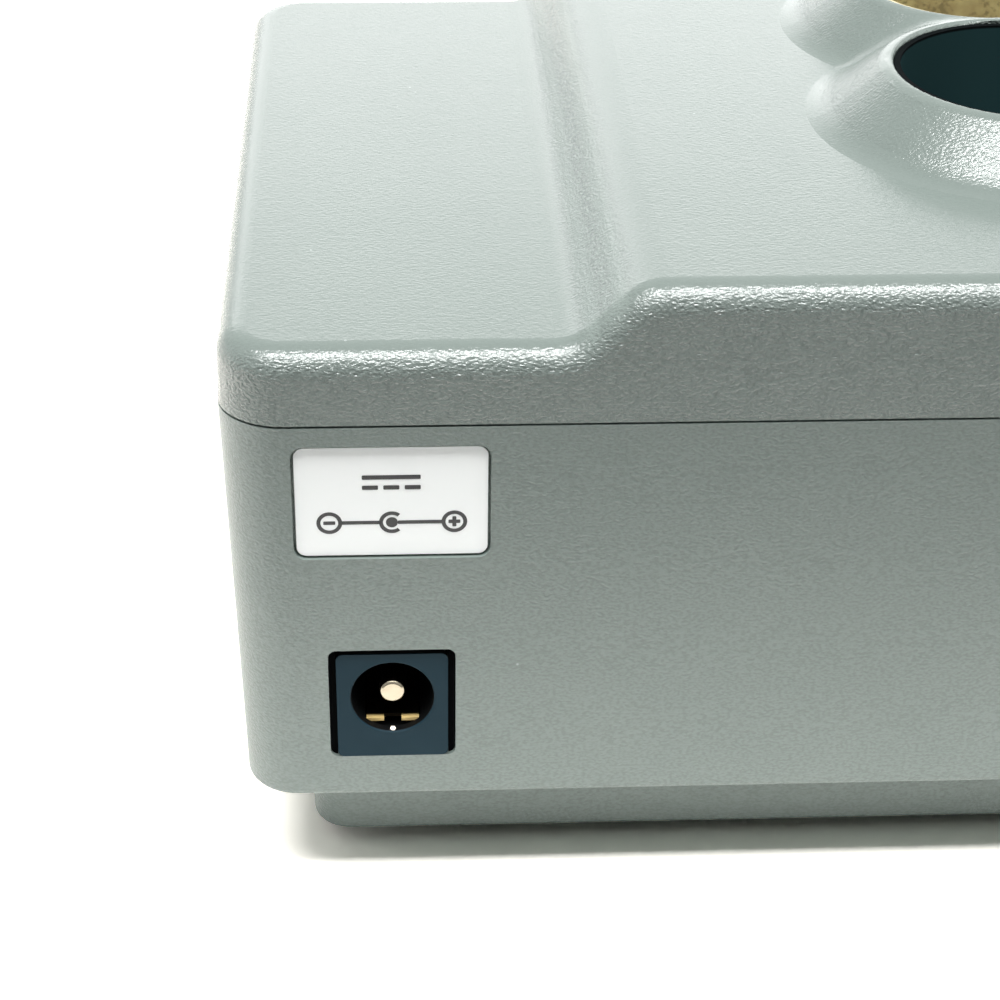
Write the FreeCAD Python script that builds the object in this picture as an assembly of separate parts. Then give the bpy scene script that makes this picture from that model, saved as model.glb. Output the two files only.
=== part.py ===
"""Compact bench tester for miniature radio tubes.

Two moulded shells close on a tongue-and-groove seam. The upper one carries a raised
hump with two crater-lipped wells; a socket cup stands in each. The lower one steps in
to a plinth on rubber feet. The power inlet is at the back, the controls are in front.

Frame: +Z up, Z = 0 on the table, X across, front towards -Y, origin at the middle of
the whole footprint, knob included. Each piece is built about the middle of the case and
moved back by half of what the knob stands out. All sizes are in millimetres.
"""
import FreeCAD, Part
import math
import os

V = FreeCAD.Vector
X_AXIS = V(1, 0, 0)
Y_AXIS = V(0, 1, 0)
Z_AXIS = V(0, 0, 1)
HERE = V(0, 0, 0)

# Case, outside
WIDTH = 132.2            # across, at the parting line
DEPTH = 77.0             # front to back, at the parting line
CORNER_R = 5.2           # plan radius at the parting line
DRAFT_DEG = 1.5          # every wall leans in away from the parting line
LOWER_H = 34.9           # lower shell's bottom edge to the parting line
PLINTH_H = 7.7
PLINTH_INSET = 4.9
PLINTH_R = 3.2
LEDGE_H = 5.9            # ledge above the parting line
STEP_H = 4.8            # hump above the ledge
HUMP_FLAT_W = 65.4       # flat top of the hump
STEP_SLOPE_DEG = 45.0
STEP_CONCAVE_R = 3.4
STEP_CONVEX_R = 5.0
TOP_EDGE_R = 2.2
LOW_EDGE_R = 0.6
SEAM_GAP = 0.2           # shadow groove at the parting line
SEAM_DEPTH = 0.5

# Case, inside
WALL = 2.2
FLOOR_T = 2.4            # plinth floor
SHELF_T = 2.45           # shelf over the plinth, which carries the main board
LAP_H = 2.4              # tongue on the upper shell
LAP_GAP = 0.12

# Tube wells
NOVAL_WELL_R = 11.1
MINI_WELL_R = 10.1
WELL_WEB = 0.7           # between the two bores
WELLS_FORWARD = 4.55     # middle of the pair in front of the case's middle
CRATER_H = 4.5           # rim above the hump
CRATER_SLOPE_DEG = 41.0
CRATER_EDGE_R = 0.3      # inside of the rim
CRATER_LIP_R = 1.4       # outside of the rim
CRATER_BASE_R = 4.1
CRATER_WALL = 1.6
VALLEY_R = 3.2           # where the two craters meet
CRATER_DIP = 0.05        # crater's foot sinks into the hump by this much

# Tube sockets
CUP_GAP = 0.1            # cup to well
CUP_WALL = 0.5
CUP_SETBACK = 0.3        # cup's edge below the rim
CUP_DEPTH = 14.0         # rim to the socket's face
SOCKET_BODY_H = 7.0
KEY_HOLE_R = 1.5
KEY_HOLE_DEPTH = 4.0
NOVAL_PCD = 11.89
NOVAL_STEP_DEG = 36.0
NOVAL_PINS = 9
MINI_PCD = 9.53
MINI_STEP_DEG = 45.0
MINI_PINS = 7
CLIP_R = 0.85
CLIP_BORE_R = 0.52
CLIP_GAP = 0.05
CLIP_SINK = 0.6          # clip's mouth below the socket's face
CLIP_L = 5.0
TAIL_R = 0.35
TAIL_OUT = 1.6           # tail below the board

# Boards
BOARD_T = 1.6
BOARD_GAP = 0.6          # board edge to wall
BOARD_R = 2.0
HOLE_GAP = 0.4           # clearance holes in the boards
SOCKET_BOARD_W = 54.0
SOCKET_BOARD_D = 58.0
SOCKET_BOSS_IN = 4.5     # hanger boss from the board's edges
BOARD_BOSS_X = 24.0
BOARD_BOSS_Y = 17.0
BOSS_R = 3.0

# Screws and feet
CASE_SCREW_R = 1.5
CASE_SCREW_HEAD_R = 2.9
CASE_SCREW_HEAD_H = 2.0
CASE_SCREW_GRIP = 6.0    # web under the head's seat
CASE_SCREW_BITE = 4.6
TOWER_R = 4.2
TOWER_FROM_SIDE = 11.6
TOWER_Y = 14.0
BOARD_SCREW_R = 1.2
BOARD_SCREW_HEAD_R = 2.3
BOARD_SCREW_HEAD_H = 1.5
BOARD_SCREW_BITE = 6.0
SCREW_GAP = 0.05
HEAD_GAP = 0.4
FOOT_R = 5.0
FOOT_SHOW = 1.4
FOOT_SINK = 0.6
FOOT_INSET = 8.4         # foot's centre from the plinth's edges

# Power inlet
JACK_FROM_SIDE = 12.8
JACK_W = 8.8
JACK_H = 9.85
JACK_L = 13.6
JACK_RECESS = 0.15       # face behind the wall's outside
JACK_BORE_R = 3.3
JACK_BORE_DEPTH = 9.6
JACK_BORE_Z = 5.7       # bore's axis above the board
JACK_MOUTH = 0.12        # lead-in at the mouth
JACK_PIN_R = 1.05
JACK_PIN_SETBACK = 0.75
JACK_RIVET_R = 1.7
JACK_RIVET_T = 0.6
WINDOW_GAP = 0.6         # wall round the inlet
WINDOW_R = 0.7
LEAF_W = 4.2
LEAF_T = 0.3
LEAF_SETBACK = 0.9
LEAF_SPRING = 0.7        # rise of the leaf's free end
LEAF_NOTCH_W = 1.4
LEAF_NOTCH_L = 0.8
TAG_W = 1.4
TAG_T = 0.4
TAG_GAP = 0.12

# Label plate in its pocket
LABEL_FROM_SIDE = 12.97
LABEL_UP = 28.1          # middle above the lower shell's edge
LABEL_W = 14.5
LABEL_H = 9.55
LABEL_R = 1.0
LABEL_T = 0.4
POCKET_DEPTH = 0.65
POCKET_GAP = 0.22

# Controls
CONTROL_UP = 17.8        # axis above the lower shell's edge
PANEL_T = 2.6            # wall at the controls, seat to seat
PAD_EXTRA = 1.2
SEAT_GAP = 0.4           # spot face round a nut
BUSH_GAP = 0.1
RUN_GAP = 0.05           # running fit, radial
SELECTOR_X = -36.0
SELECTOR_W = 16.0
SELECTOR_L = 9.0
SELECTOR_BUSH_R = 4.5
SELECTOR_NUT_AF = 12.0
NUT_T = 2.2
BUSH_PROUD = 0.8         # bushing past its nut
SHAFT_R = 3.0
SHAFT_IN = 6.0           # shaft inside the switch
KNOB_SKIRT_R = 12.0
KNOB_SKIRT_T = 1.6
KNOB_R = 10.2
KNOB_NOSE_R = 9.3
KNOB_H = 14.0
KNOB_GAP = 0.8           # skirt to panel
KNOB_BORE = 11.0         # back of the knob to the end of its bore
KNOB_FLUTES = 18
KNOB_FLUTE_R = 1.1
KNOB_ROUND = 1.0
POINTER_W = 1.4
POINTER_T = 0.8
TEST_X = 20.0
TEST_W = 13.0
TEST_BUSH_R = 5.9
TEST_NUT_AF = 15.0
PLUNGER_R = 4.2
PLUNGER_OUT = 4.4        # past the bushing
PLUNGER_FLANGE_R = 5.0
PLUNGER_FLANGE_T = 1.2
PLUNGER_ROUND = 0.8
FLANGE_GAP = 0.3
TEST_FRONT_T = 1.0       # web that the flange rests on
TEST_BACK_T = 1.4
SPRING_L = 7.0
SPRING_R = 3.2
SPRING_WIRE_R = 0.3
SPRING_TURNS = 5
SPRING_STEPS = 12
POWER_X = 39.0
ROCKER_W = 10.4
ROCKER_L = 16.4
ROCKER_GAP = 0.35
ROCKER_SWING_DEG = 16.0  # from one rest to the other
ROCKER_NOSE = 3.0        # ends above the frame's seat
ROCKER_SADDLE = 1.7      # middle above the frame's seat
ROCKER_ROOT = 4.0        # root below the frame's seat
ROCKER_ROOT_L = 5.0
ROCKER_PIVOT_DROP = 1.5
ROCKER_PIN_R = 1.2
ROCKER_PIN_L = 0.7
FRAME_WALL = 1.1
FRAME_LIP = 1.0
FRAME_T = 1.8
FRAME_R = 1.2
POWER_L = 9.0
BLADE_W = 2.0
BLADE_T = 0.6
BLADE_PITCH = 5.0
LED_X = -5.5
LED_PITCH = 9.0
LED_UP = 17.8
LED_R = 2.45
LED_OUT = 2.8            # dome's top past the wall
LED_BASE_R = 2.9
LED_BASE_T = 1.0
LED_GAP = 0.1
BEZEL_R = 4.0
BEZEL_T = 0.9
BEZEL_TUBE_T = 0.6
LED_BLOCK_D = 6.0
LED_BLOCK_EDGE = 1.6

# Circuit parts on the main board
CORE_X = -6.0
CORE_Y = 11.0
CORE_W = 24.0
CORE_H = 20.0
CORE_D = 8.0
CORE_LEG = 4.0
COIL_D = 15.0
CAP_R = 5.0
CAP_H = 16.0
CAP_X = 35.0
CAP_Y = 1.0
CAP_PITCH = 13.0
CAP_ROUND = 0.8
CHIP_W = 10.0
CHIP_D = 6.4
CHIP_H = 3.2
CHIP_Y = -6.0
CHIP_X = -38.0
CHIP_PITCH = 26.0
SINK_FROM_SIDE = 30.1
SINK_Y = 11.0
SINK_W = 17.0
SINK_D = 9.0
SINK_H = 16.0
SINK_FINS = 6
SINK_FIN_T = 1.0
SINK_WEB_T = 2.0
HEADER_W = 13.0
HEADER_D = 4.0
HEADER_H = 5.5
RIBBON_W = 11.0
RIBBON_T = 0.8
RIBBON_R = 1.8
HEADER_LOW_Y = 29.4
HEADER_TOP_Y = 24.6

# Levels
Z_BASE = FOOT_SHOW
Z_SHELF = Z_BASE + PLINTH_H
Z_PART = Z_SHELF + LOWER_H
Z_LEDGE = Z_PART + LEDGE_H
Z_TOP = Z_LEDGE + STEP_H
Z_RIM = Z_TOP + CRATER_H
Z_BOARD = Z_SHELF + SHELF_T
Z_DECK = Z_BOARD + BOARD_T
Z_FACE = Z_RIM - CUP_DEPTH
Z_SOCKET_DECK = Z_FACE - SOCKET_BODY_H
Z_SOCKET_BOARD = Z_SOCKET_DECK - BOARD_T
Z_CONTROL = Z_SHELF + CONTROL_UP
Z_LED = Z_SHELF + LED_UP
LEAN = math.tan(math.radians(DRAFT_DEG))
WELL_PITCH = NOVAL_WELL_R + MINI_WELL_R + WELL_WEB
FRONT_WELL = V(0, -WELL_PITCH / 2 - WELLS_FORWARD, 0)
REAR_WELL = V(0, WELL_PITCH / 2 - WELLS_FORWARD, 0)
WELLS = [(FRONT_WELL, MINI_WELL_R), (REAR_WELL, NOVAL_WELL_R)]
TOWERS = [(sx * (WIDTH / 2 - TOWER_FROM_SIDE), sy * TOWER_Y) for sx in (-1, 1) for sy in (-1, 1)]
BOARD_BOSSES = [(sx * BOARD_BOSS_X, sy * BOARD_BOSS_Y) for sx in (-1, 1) for sy in (-1, 1)]
HANGERS = [(sx * (SOCKET_BOARD_W / 2 - SOCKET_BOSS_IN), sy * (SOCKET_BOARD_D / 2 - SOCKET_BOSS_IN))
           for sx in (-1, 1) for sy in (-1, 1)]
JACK_X = WIDTH / 2 - JACK_FROM_SIDE
LED_SPOTS = [LED_X - LED_PITCH, LED_X, LED_X + LED_PITCH]


def lean(z):
    """How far a wall has leaned in at height z."""
    return abs(Z_PART - z) * LEAN


def wire(edges):
    return Part.Wire(edges)


def line(a, b):
    return Part.LineSegment(a, b).toShape()


def arc(a, m, b):
    return Part.Arc(a, m, b).toShape()


def round_rect(w, d, r, z):
    """Closed rounded rectangle in the plane at height z, centred on the Z axis."""
    x, y = w / 2, d / 2
    k = r * (1 - math.sqrt(0.5))
    return wire([
        line(V(-x + r, -y, z), V(x - r, -y, z)),
        arc(V(x - r, -y, z), V(x - k, -y + k, z), V(x, -y + r, z)),
        line(V(x, -y + r, z), V(x, y - r, z)),
        arc(V(x, y - r, z), V(x - k, y - k, z), V(x - r, y, z)),
        line(V(x - r, y, z), V(-x + r, y, z)),
        arc(V(-x + r, y, z), V(-x + k, y - k, z), V(-x, y - r, z)),
        line(V(-x, y - r, z), V(-x, -y + r, z)),
        arc(V(-x, -y + r, z), V(-x + k, -y + k, z), V(-x + r, -y, z)),
    ])


def slab(w, d, r, z0, z1, x=0.0, y=0.0):
    """Rounded plate standing on z0."""
    plate = Part.Face(round_rect(w, d, r, z0)).extrude(V(0, 0, z1 - z0))
    plate.translate(V(x, y, 0))
    return plate


def rod(r, z0, z1, x=0.0, y=0.0):
    return Part.makeCylinder(r, z1 - z0, V(x, y, z0), Z_AXIS)


def turned(edges):
    """Solid of revolution about Z from a closed profile in the XZ plane."""
    return Part.Face(wire(edges)).revolve(HERE, Z_AXIS, 360)


def turned_points(points):
    corners = [V(r, 0, z) for r, z in points]
    return turned([line(a, b) for a, b in zip(corners, corners[1:] + corners[:1])])


def hexagon(af, z0, z1):
    r = af / math.sqrt(3)
    corners = [V(r * math.cos(math.radians(a)), r * math.sin(math.radians(a)), z0)
               for a in range(0, 420, 60)]
    return Part.Face(Part.makePolygon(corners)).extrude(V(0, 0, z1 - z0))


def to_front(shape, x, y, z):
    """Stand a part built on Z = 0 on the front: its Z points out, its Y points up."""
    shape.rotate(HERE, X_AXIS, 90)
    shape.translate(V(x, y, z))
    return shape


def to_rear(shape, x, y, z):
    shape.rotate(HERE, X_AXIS, 90)
    shape.rotate(HERE, Z_AXIS, 180)
    shape.translate(V(x, y, z))
    return shape


def front_y(z):
    return -(DEPTH / 2 - lean(z))


def seat_y(z, r):
    """Upright spot face for a control of radius r whose axis is at height z."""
    return front_y(z - r)


def case_block(z0, z1, grow):
    """Drafted block of the case's plan, all walls moved out by grow."""
    rings = []
    for z in (z0, z1):
        g = grow - lean(z)
        rings.append(round_rect(WIDTH + 2 * g, DEPTH + 2 * g, max(CORNER_R + g, 0.4), z))
    return Part.makeLoft(rings, True, True)


def plinth_block(z0, z1, grow):
    rings = []
    for z in (z0, z1):
        g = grow - PLINTH_INSET - lean(z)
        rings.append(round_rect(WIDTH + 2 * g, DEPTH + 2 * g, max(PLINTH_R + grow, 0.8), z))
    return Part.makeLoft(rings, True, True)


def edges_at(shape, z, out_x=0.0, out_y=0.0):
    """Edges lying at height z, beyond the given half width or half depth."""
    found = []
    for e in shape.Edges:
        if all(abs(v.Z - z) < 1e-6 for v in e.Vertexes):
            c = e.BoundBox.Center
            if abs(c.x) > out_x or abs(c.y) > out_y:
                found.append(e)
    return found


SELECTOR_SEAT_R = SELECTOR_NUT_AF / math.sqrt(3) + SEAT_GAP
TEST_SEAT_R = TEST_NUT_AF / math.sqrt(3) + SEAT_GAP
FRAME_IN_W = ROCKER_W + 2 * ROCKER_GAP
FRAME_IN_L = ROCKER_L + 2 * (ROCKER_GAP + 0.5 * ROCKER_NOSE * math.sin(math.radians(ROCKER_SWING_DEG)))
FRAME_BODY_W = FRAME_IN_W + 2 * FRAME_WALL
FRAME_BODY_L = FRAME_IN_L + 2 * FRAME_WALL
FRAME_W = FRAME_BODY_W + 2 * FRAME_LIP
FRAME_L = FRAME_BODY_L + 2 * FRAME_LIP
BEZEL_TUBE_R = LED_R + LED_GAP + BEZEL_TUBE_T
SELECTOR_Y = seat_y(Z_CONTROL, SELECTOR_SEAT_R)
TEST_Y = seat_y(Z_CONTROL, TEST_SEAT_R)
POWER_Y = seat_y(Z_CONTROL, FRAME_L / 2 + SEAT_GAP)
LED_Y = seat_y(Z_LED, BEZEL_R + SEAT_GAP)


def control_pads():
    """Thickened wall inside each control, down from the seat by the panel's thickness."""
    round_seats = [(SELECTOR_SEAT_R, SELECTOR_X, SELECTOR_Y), (TEST_SEAT_R, TEST_X, TEST_Y)]
    pads = [to_front(rod(r + PAD_EXTRA, -PANEL_T, -PANEL_T / 2), x, y, Z_CONTROL)
            for r, x, y in round_seats]
    pads += [to_front(rod(BEZEL_R + PAD_EXTRA, -PANEL_T, -PANEL_T / 2), x, LED_Y, Z_LED)
             for x in LED_SPOTS]
    frame = slab(FRAME_W + PAD_EXTRA, FRAME_L + PAD_EXTRA, FRAME_R, -PANEL_T, -PANEL_T / 2)
    return pads + [to_front(frame, POWER_X, POWER_Y, Z_CONTROL)]


def control_cuts():
    """Spot faces and holes for the controls."""
    out = DEPTH / 4
    cuts = []
    for seat_r, hole_r, x, y, z in (
            (SELECTOR_SEAT_R, SELECTOR_BUSH_R + BUSH_GAP, SELECTOR_X, SELECTOR_Y, Z_CONTROL),
            (TEST_SEAT_R, TEST_BUSH_R + BUSH_GAP, TEST_X, TEST_Y, Z_CONTROL)):
        cuts.append(to_front(rod(seat_r, 0, out), x, y, z))
        cuts.append(to_front(rod(hole_r, -PANEL_T - WALL, out), x, y, z))
    for x in LED_SPOTS:
        cuts.append(to_front(rod(BEZEL_R + SEAT_GAP, 0, out), x, LED_Y, Z_LED))
        cuts.append(to_front(rod(BEZEL_TUBE_R + BUSH_GAP, -PANEL_T - WALL, out), x, LED_Y, Z_LED))
    seat = slab(FRAME_W + 2 * SEAT_GAP, FRAME_L + 2 * SEAT_GAP, FRAME_R + SEAT_GAP, 0, out)
    hole = slab(FRAME_BODY_W + 2 * BUSH_GAP, FRAME_BODY_L + 2 * BUSH_GAP, FRAME_R / 2,
                -PANEL_T - WALL, out)
    cuts += [to_front(s, POWER_X, POWER_Y, Z_CONTROL) for s in (seat, hole)]
    return cuts


def rear_plate(w, h, r, t0, t1):
    """Plate parallel to the drafted rear wall, from t0 to t1 out of its face."""
    plate = slab(w, h, r, t0, t1)
    plate.rotate(HERE, X_AXIS, 90)
    plate.rotate(HERE, Z_AXIS, 180)
    plate.rotate(HERE, X_AXIS, -DRAFT_DEG)
    z = Z_SHELF + LABEL_UP
    plate.translate(V(WIDTH / 2 - LABEL_FROM_SIDE, -front_y(z), z))
    return plate


def lower_shell():
    case = case_block(Z_SHELF, Z_PART, 0)
    case = case.makeFillet(LOW_EDGE_R, edges_at(case, Z_SHELF))
    plinth = plinth_block(Z_BASE, Z_SHELF, 0)
    plinth = plinth.makeFillet(LOW_EDGE_R, edges_at(plinth, Z_BASE))
    inside = case_block(Z_BOARD, Z_PART, -WALL).fuse(plinth_block(Z_BASE + FLOOR_T, Z_BOARD, -WALL))
    rebate = case_block(Z_PART - LAP_H, Z_PART, -WALL / 2)
    groove = case_block(Z_PART - SEAM_GAP, Z_PART, WALL).cut(
        case_block(Z_PART - SEAM_GAP, Z_PART, -SEAM_DEPTH))
    shell = case.fuse(plinth).cut([inside, rebate, groove])
    posts = [rod(TOWER_R, Z_BASE + FLOOR_T / 2, Z_PART, x, y) for x, y in TOWERS]
    posts += [rod(BOSS_R, Z_BASE + FLOOR_T / 2, Z_BOARD, x, y) for x, y in BOARD_BOSSES]
    shell = shell.fuse(posts + control_pads())
    cuts = control_cuts()
    seat = Z_PART - CASE_SCREW_GRIP
    for x, y in TOWERS:
        cuts.append(rod(CASE_SCREW_HEAD_R + HEAD_GAP, 0, seat, x, y))
        cuts.append(rod(CASE_SCREW_R + HEAD_GAP / 2, seat - WALL, Z_PART + WALL, x, y))
    for x, y in BOARD_BOSSES:
        cuts.append(rod(BOARD_SCREW_R + SCREW_GAP, Z_BOARD - BOARD_SCREW_BITE, Z_DECK, x, y))
    for x, y in feet_places():
        cuts.append(rod(FOOT_R + SCREW_GAP, 0, Z_BASE + FOOT_SINK, x, y))
    window = slab(JACK_W + 2 * WINDOW_GAP, JACK_H + WINDOW_GAP, WINDOW_R, -3 * WALL, WALL)
    cuts.append(to_rear(window, JACK_X, DEPTH / 2, Z_DECK + (JACK_H + WINDOW_GAP) / 2))
    cuts.append(rear_plate(LABEL_W + 2 * POCKET_GAP, LABEL_H + 2 * POCKET_GAP, LABEL_R,
                           -POCKET_DEPTH, WALL))
    return shell.cut(cuts)


def hump_section(drop):
    """Section of the case's top across X, every face moved down into the wall by drop."""
    a = math.radians(STEP_SLOPE_DEG)
    z_low, z_high = Z_LEDGE - drop, Z_TOP - drop
    r_low, r_high = STEP_CONCAVE_R + drop, max(STEP_CONVEX_R - drop, 0.3)
    high_x = HUMP_FLAT_W / 2
    top_b = V(high_x + r_high * math.sin(a), 0, z_high - r_high * (1 - math.cos(a)))
    fall = top_b.z - (z_low + r_low * (1 - math.cos(a)))
    low_b = V(top_b.x + fall / math.tan(a), 0, top_b.z - fall)
    low_a = V(low_b.x + r_low * math.sin(a), 0, z_low)
    h = a / 2
    top_m = V(high_x + r_high * math.sin(h), 0, z_high - r_high * (1 - math.cos(h)))
    low_m = V(low_a.x - r_low * math.sin(h), 0, z_low + r_low * (1 - math.cos(h)))
    side, foot = WIDTH, Z_PART - LAP_H
    right = [V(high_x, 0, z_high), top_m, top_b, low_b, low_m, low_a, V(side, 0, z_low)]
    left = [V(-p.x, 0, p.z) for p in right]
    edges = [line(left[0], right[0])]
    for p in (right, left):
        edges += [arc(p[0], p[1], p[2]), line(p[2], p[3]), arc(p[3], p[4], p[5]),
                  line(p[5], p[6]), line(p[6], V(p[6].x, 0, foot))]
    edges.append(line(V(-side, 0, foot), V(side, 0, foot)))
    section = Part.Face(wire(Part.__sortEdges__(edges)))
    section.translate(V(0, -DEPTH, 0))
    return section.extrude(V(0, 2 * DEPTH, 0))


def crater(r):
    """Volcano-shaped lip round a bore of radius r: crisp rim, rounded flank, swept foot."""
    s = math.radians(CRATER_SLOPE_DEG)
    root = Z_TOP - WALL / 2
    foot_z = Z_TOP - CRATER_DIP
    crown = V(r + CRATER_EDGE_R, 0, Z_RIM)
    edge = crown - V(0, 0, CRATER_EDGE_R)
    lip = crown - V(0, 0, CRATER_LIP_R)
    edge_a = V(r, 0, edge.z)
    turn = math.radians(45)
    edge_m = edge + V(-math.cos(turn), 0, math.sin(turn)) * CRATER_EDGE_R
    half = V(math.sin(s / 2), 0, math.cos(s / 2))
    whole = V(math.sin(s), 0, math.cos(s))
    flank_a = lip + whole * CRATER_LIP_R
    low_z = foot_z + CRATER_BASE_R * (1 - math.cos(s))
    flank_b = V(flank_a.x + (flank_a.z - low_z) / math.tan(s), 0, low_z)
    bowl = flank_b + whole * CRATER_BASE_R
    foot_m = bowl - half * CRATER_BASE_R
    foot = V(bowl.x, 0, foot_z)
    ring = turned([
        line(V(r, 0, root), edge_a), arc(edge_a, edge_m, crown),
        arc(crown, lip + half * CRATER_LIP_R, flank_a), line(flank_a, flank_b),
        arc(flank_b, foot_m, foot), line(foot, V(foot.x, 0, root)),
        line(V(foot.x, 0, root), V(r, 0, root)),
    ])
    inner = r + CRATER_WALL
    ceiling = Z_TOP - WALL
    outer = foot.x - WALL / math.sin(s)
    peak = ceiling + (outer - inner) * math.tan(s)
    core = turned_points([(inner, ceiling), (outer, ceiling), (inner, peak)])
    return ring, core


def twin_craters():
    """Both lips as one mound, with the creases between them rounded out."""
    front, rear = [crater(r)[0].translated(w) for w, r in WELLS]
    mound = front.fuse(rear)
    meet = FRONT_WELL.y + MINI_WELL_R + WELL_WEB / 2
    creases = [e for e in mound.Edges if e.BoundBox.XLength > CRATER_LIP_R
               and abs(e.BoundBox.Center.x) > CRATER_BASE_R
               and e.BoundBox.YLength < WELL_WEB and abs(e.BoundBox.Center.y - meet) < WELL_WEB]
    return mound.makeFillet(VALLEY_R, creases)


def upper_shell():
    prism = case_block(Z_PART, Z_TOP + WALL, 0)
    block = prism.common(hump_section(0))
    flat_x, flat_y = WIDTH / 2 - CORNER_R, DEPTH / 2 - CORNER_R
    rim = [e for e in block.Edges if e.BoundBox.ZMin > Z_LEDGE - 1e-4
           and (abs(e.BoundBox.Center.x) > flat_x or abs(e.BoundBox.Center.y) > flat_y)]
    block = block.makeFillet(TOP_EDGE_R, rim)
    cavity = case_block(Z_PART, Z_TOP + WALL, -WALL).common(hump_section(WALL))
    tongue = case_block(Z_PART - LAP_H + LAP_GAP, Z_PART, -WALL / 2 - LAP_GAP)
    tongue = tongue.cut(case_block(Z_PART - LAP_H, Z_PART, -WALL))
    tubes = [rod(r + CRATER_WALL, Z_TOP - 2 * WALL, Z_TOP, w.x, w.y) for w, r in WELLS]
    cores = [crater(r)[1].translated(w).cut(tubes) for w, r in WELLS]
    shell = block.fuse(twin_craters()).cut([cavity] + cores)
    bosses = [rod(BOSS_R, Z_SOCKET_DECK, Z_TOP - WALL / 2, x, y) for x, y in HANGERS]
    bosses += [rod(TOWER_R, Z_PART, Z_LEDGE - WALL / 2, x, y) for x, y in TOWERS]
    shell = shell.fuse([tongue] + tubes + bosses)
    cuts = [rod(r, Z_PART, Z_RIM + WALL, w.x, w.y) for w, r in WELLS]
    cuts += [rod(BOARD_SCREW_R + SCREW_GAP, Z_SOCKET_BOARD, Z_SOCKET_DECK + BOARD_SCREW_BITE, x, y)
             for x, y in HANGERS]
    cuts += [rod(CASE_SCREW_R + SCREW_GAP, Z_PART - WALL, Z_PART + CASE_SCREW_BITE, x, y)
             for x, y in TOWERS]
    return shell.cut(cuts)


def rating_label():
    return rear_plate(LABEL_W, LABEL_H, LABEL_R - POCKET_GAP, -POCKET_DEPTH, LABEL_T - POCKET_DEPTH)


def feet_places():
    g = PLINTH_INSET + lean(Z_BASE) + FOOT_INSET
    return [(sx * (WIDTH / 2 - g), sy * (DEPTH / 2 - g)) for sx in (-1, 1) for sy in (-1, 1)]


def rubber_feet():
    foot = rod(FOOT_R, 0, FOOT_SHOW + FOOT_SINK)
    foot = foot.makeFillet(FOOT_SHOW / 2, edges_at(foot, 0, -1))
    return [foot.translated(V(x, y, 0)) for x, y in feet_places()]


def screw(r, length, head_r, head_h):
    """Round-headed screw: seat of the head at Z = 0, shank up, cross recess below."""
    head = rod(head_r, -head_h, 0)
    head = head.makeFillet(head_h / 2, edges_at(head, -head_h, -1))
    slot = Part.makeBox(head_r, head_r / 4, head_h, V(-head_r / 2, -head_r / 8, -1.5 * head_h))
    other = slot.copy()
    other.rotate(HERE, Z_AXIS, 90)
    shank = rod(r, 0, length)
    shank = shank.makeChamfer(r / 3, edges_at(shank, length, -1))
    return head.fuse(shank).cut([slot, other])


def case_screws():
    one = screw(CASE_SCREW_R, CASE_SCREW_GRIP + CASE_SCREW_BITE * 0.9, CASE_SCREW_HEAD_R,
                CASE_SCREW_HEAD_H)
    return [one.translated(V(x, y, Z_PART - CASE_SCREW_GRIP)) for x, y in TOWERS]


def board_screw():
    return screw(BOARD_SCREW_R, BOARD_T + BOARD_SCREW_BITE * 0.8, BOARD_SCREW_HEAD_R,
                 BOARD_SCREW_HEAD_H)


def board_screws():
    one = board_screw()
    one.rotate(HERE, X_AXIS, 180)
    return [one.translated(V(x, y, Z_DECK)) for x, y in BOARD_BOSSES]


def socket_screws():
    return [board_screw().translated(V(x, y, Z_SOCKET_BOARD)) for x, y in HANGERS]


def jack_y():
    """Face of the inlet's housing."""
    return -front_y(Z_DECK + JACK_BORE_Z) - JACK_RECESS


def jack_tag(y, z_top):
    """Solder tag that goes down through the board."""
    tag = Part.makeBox(TAG_W, TAG_T, z_top - (Z_BOARD - TAIL_OUT))
    tag.translate(V(JACK_X - TAG_W / 2, y, Z_BOARD - TAIL_OUT))
    return tag


def tag_places():
    """Backs of the pin's tag and of the leaf's tag."""
    back = jack_y() - JACK_L
    return back - JACK_RIVET_T, back + (JACK_L - JACK_BORE_DEPTH) / 2


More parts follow.
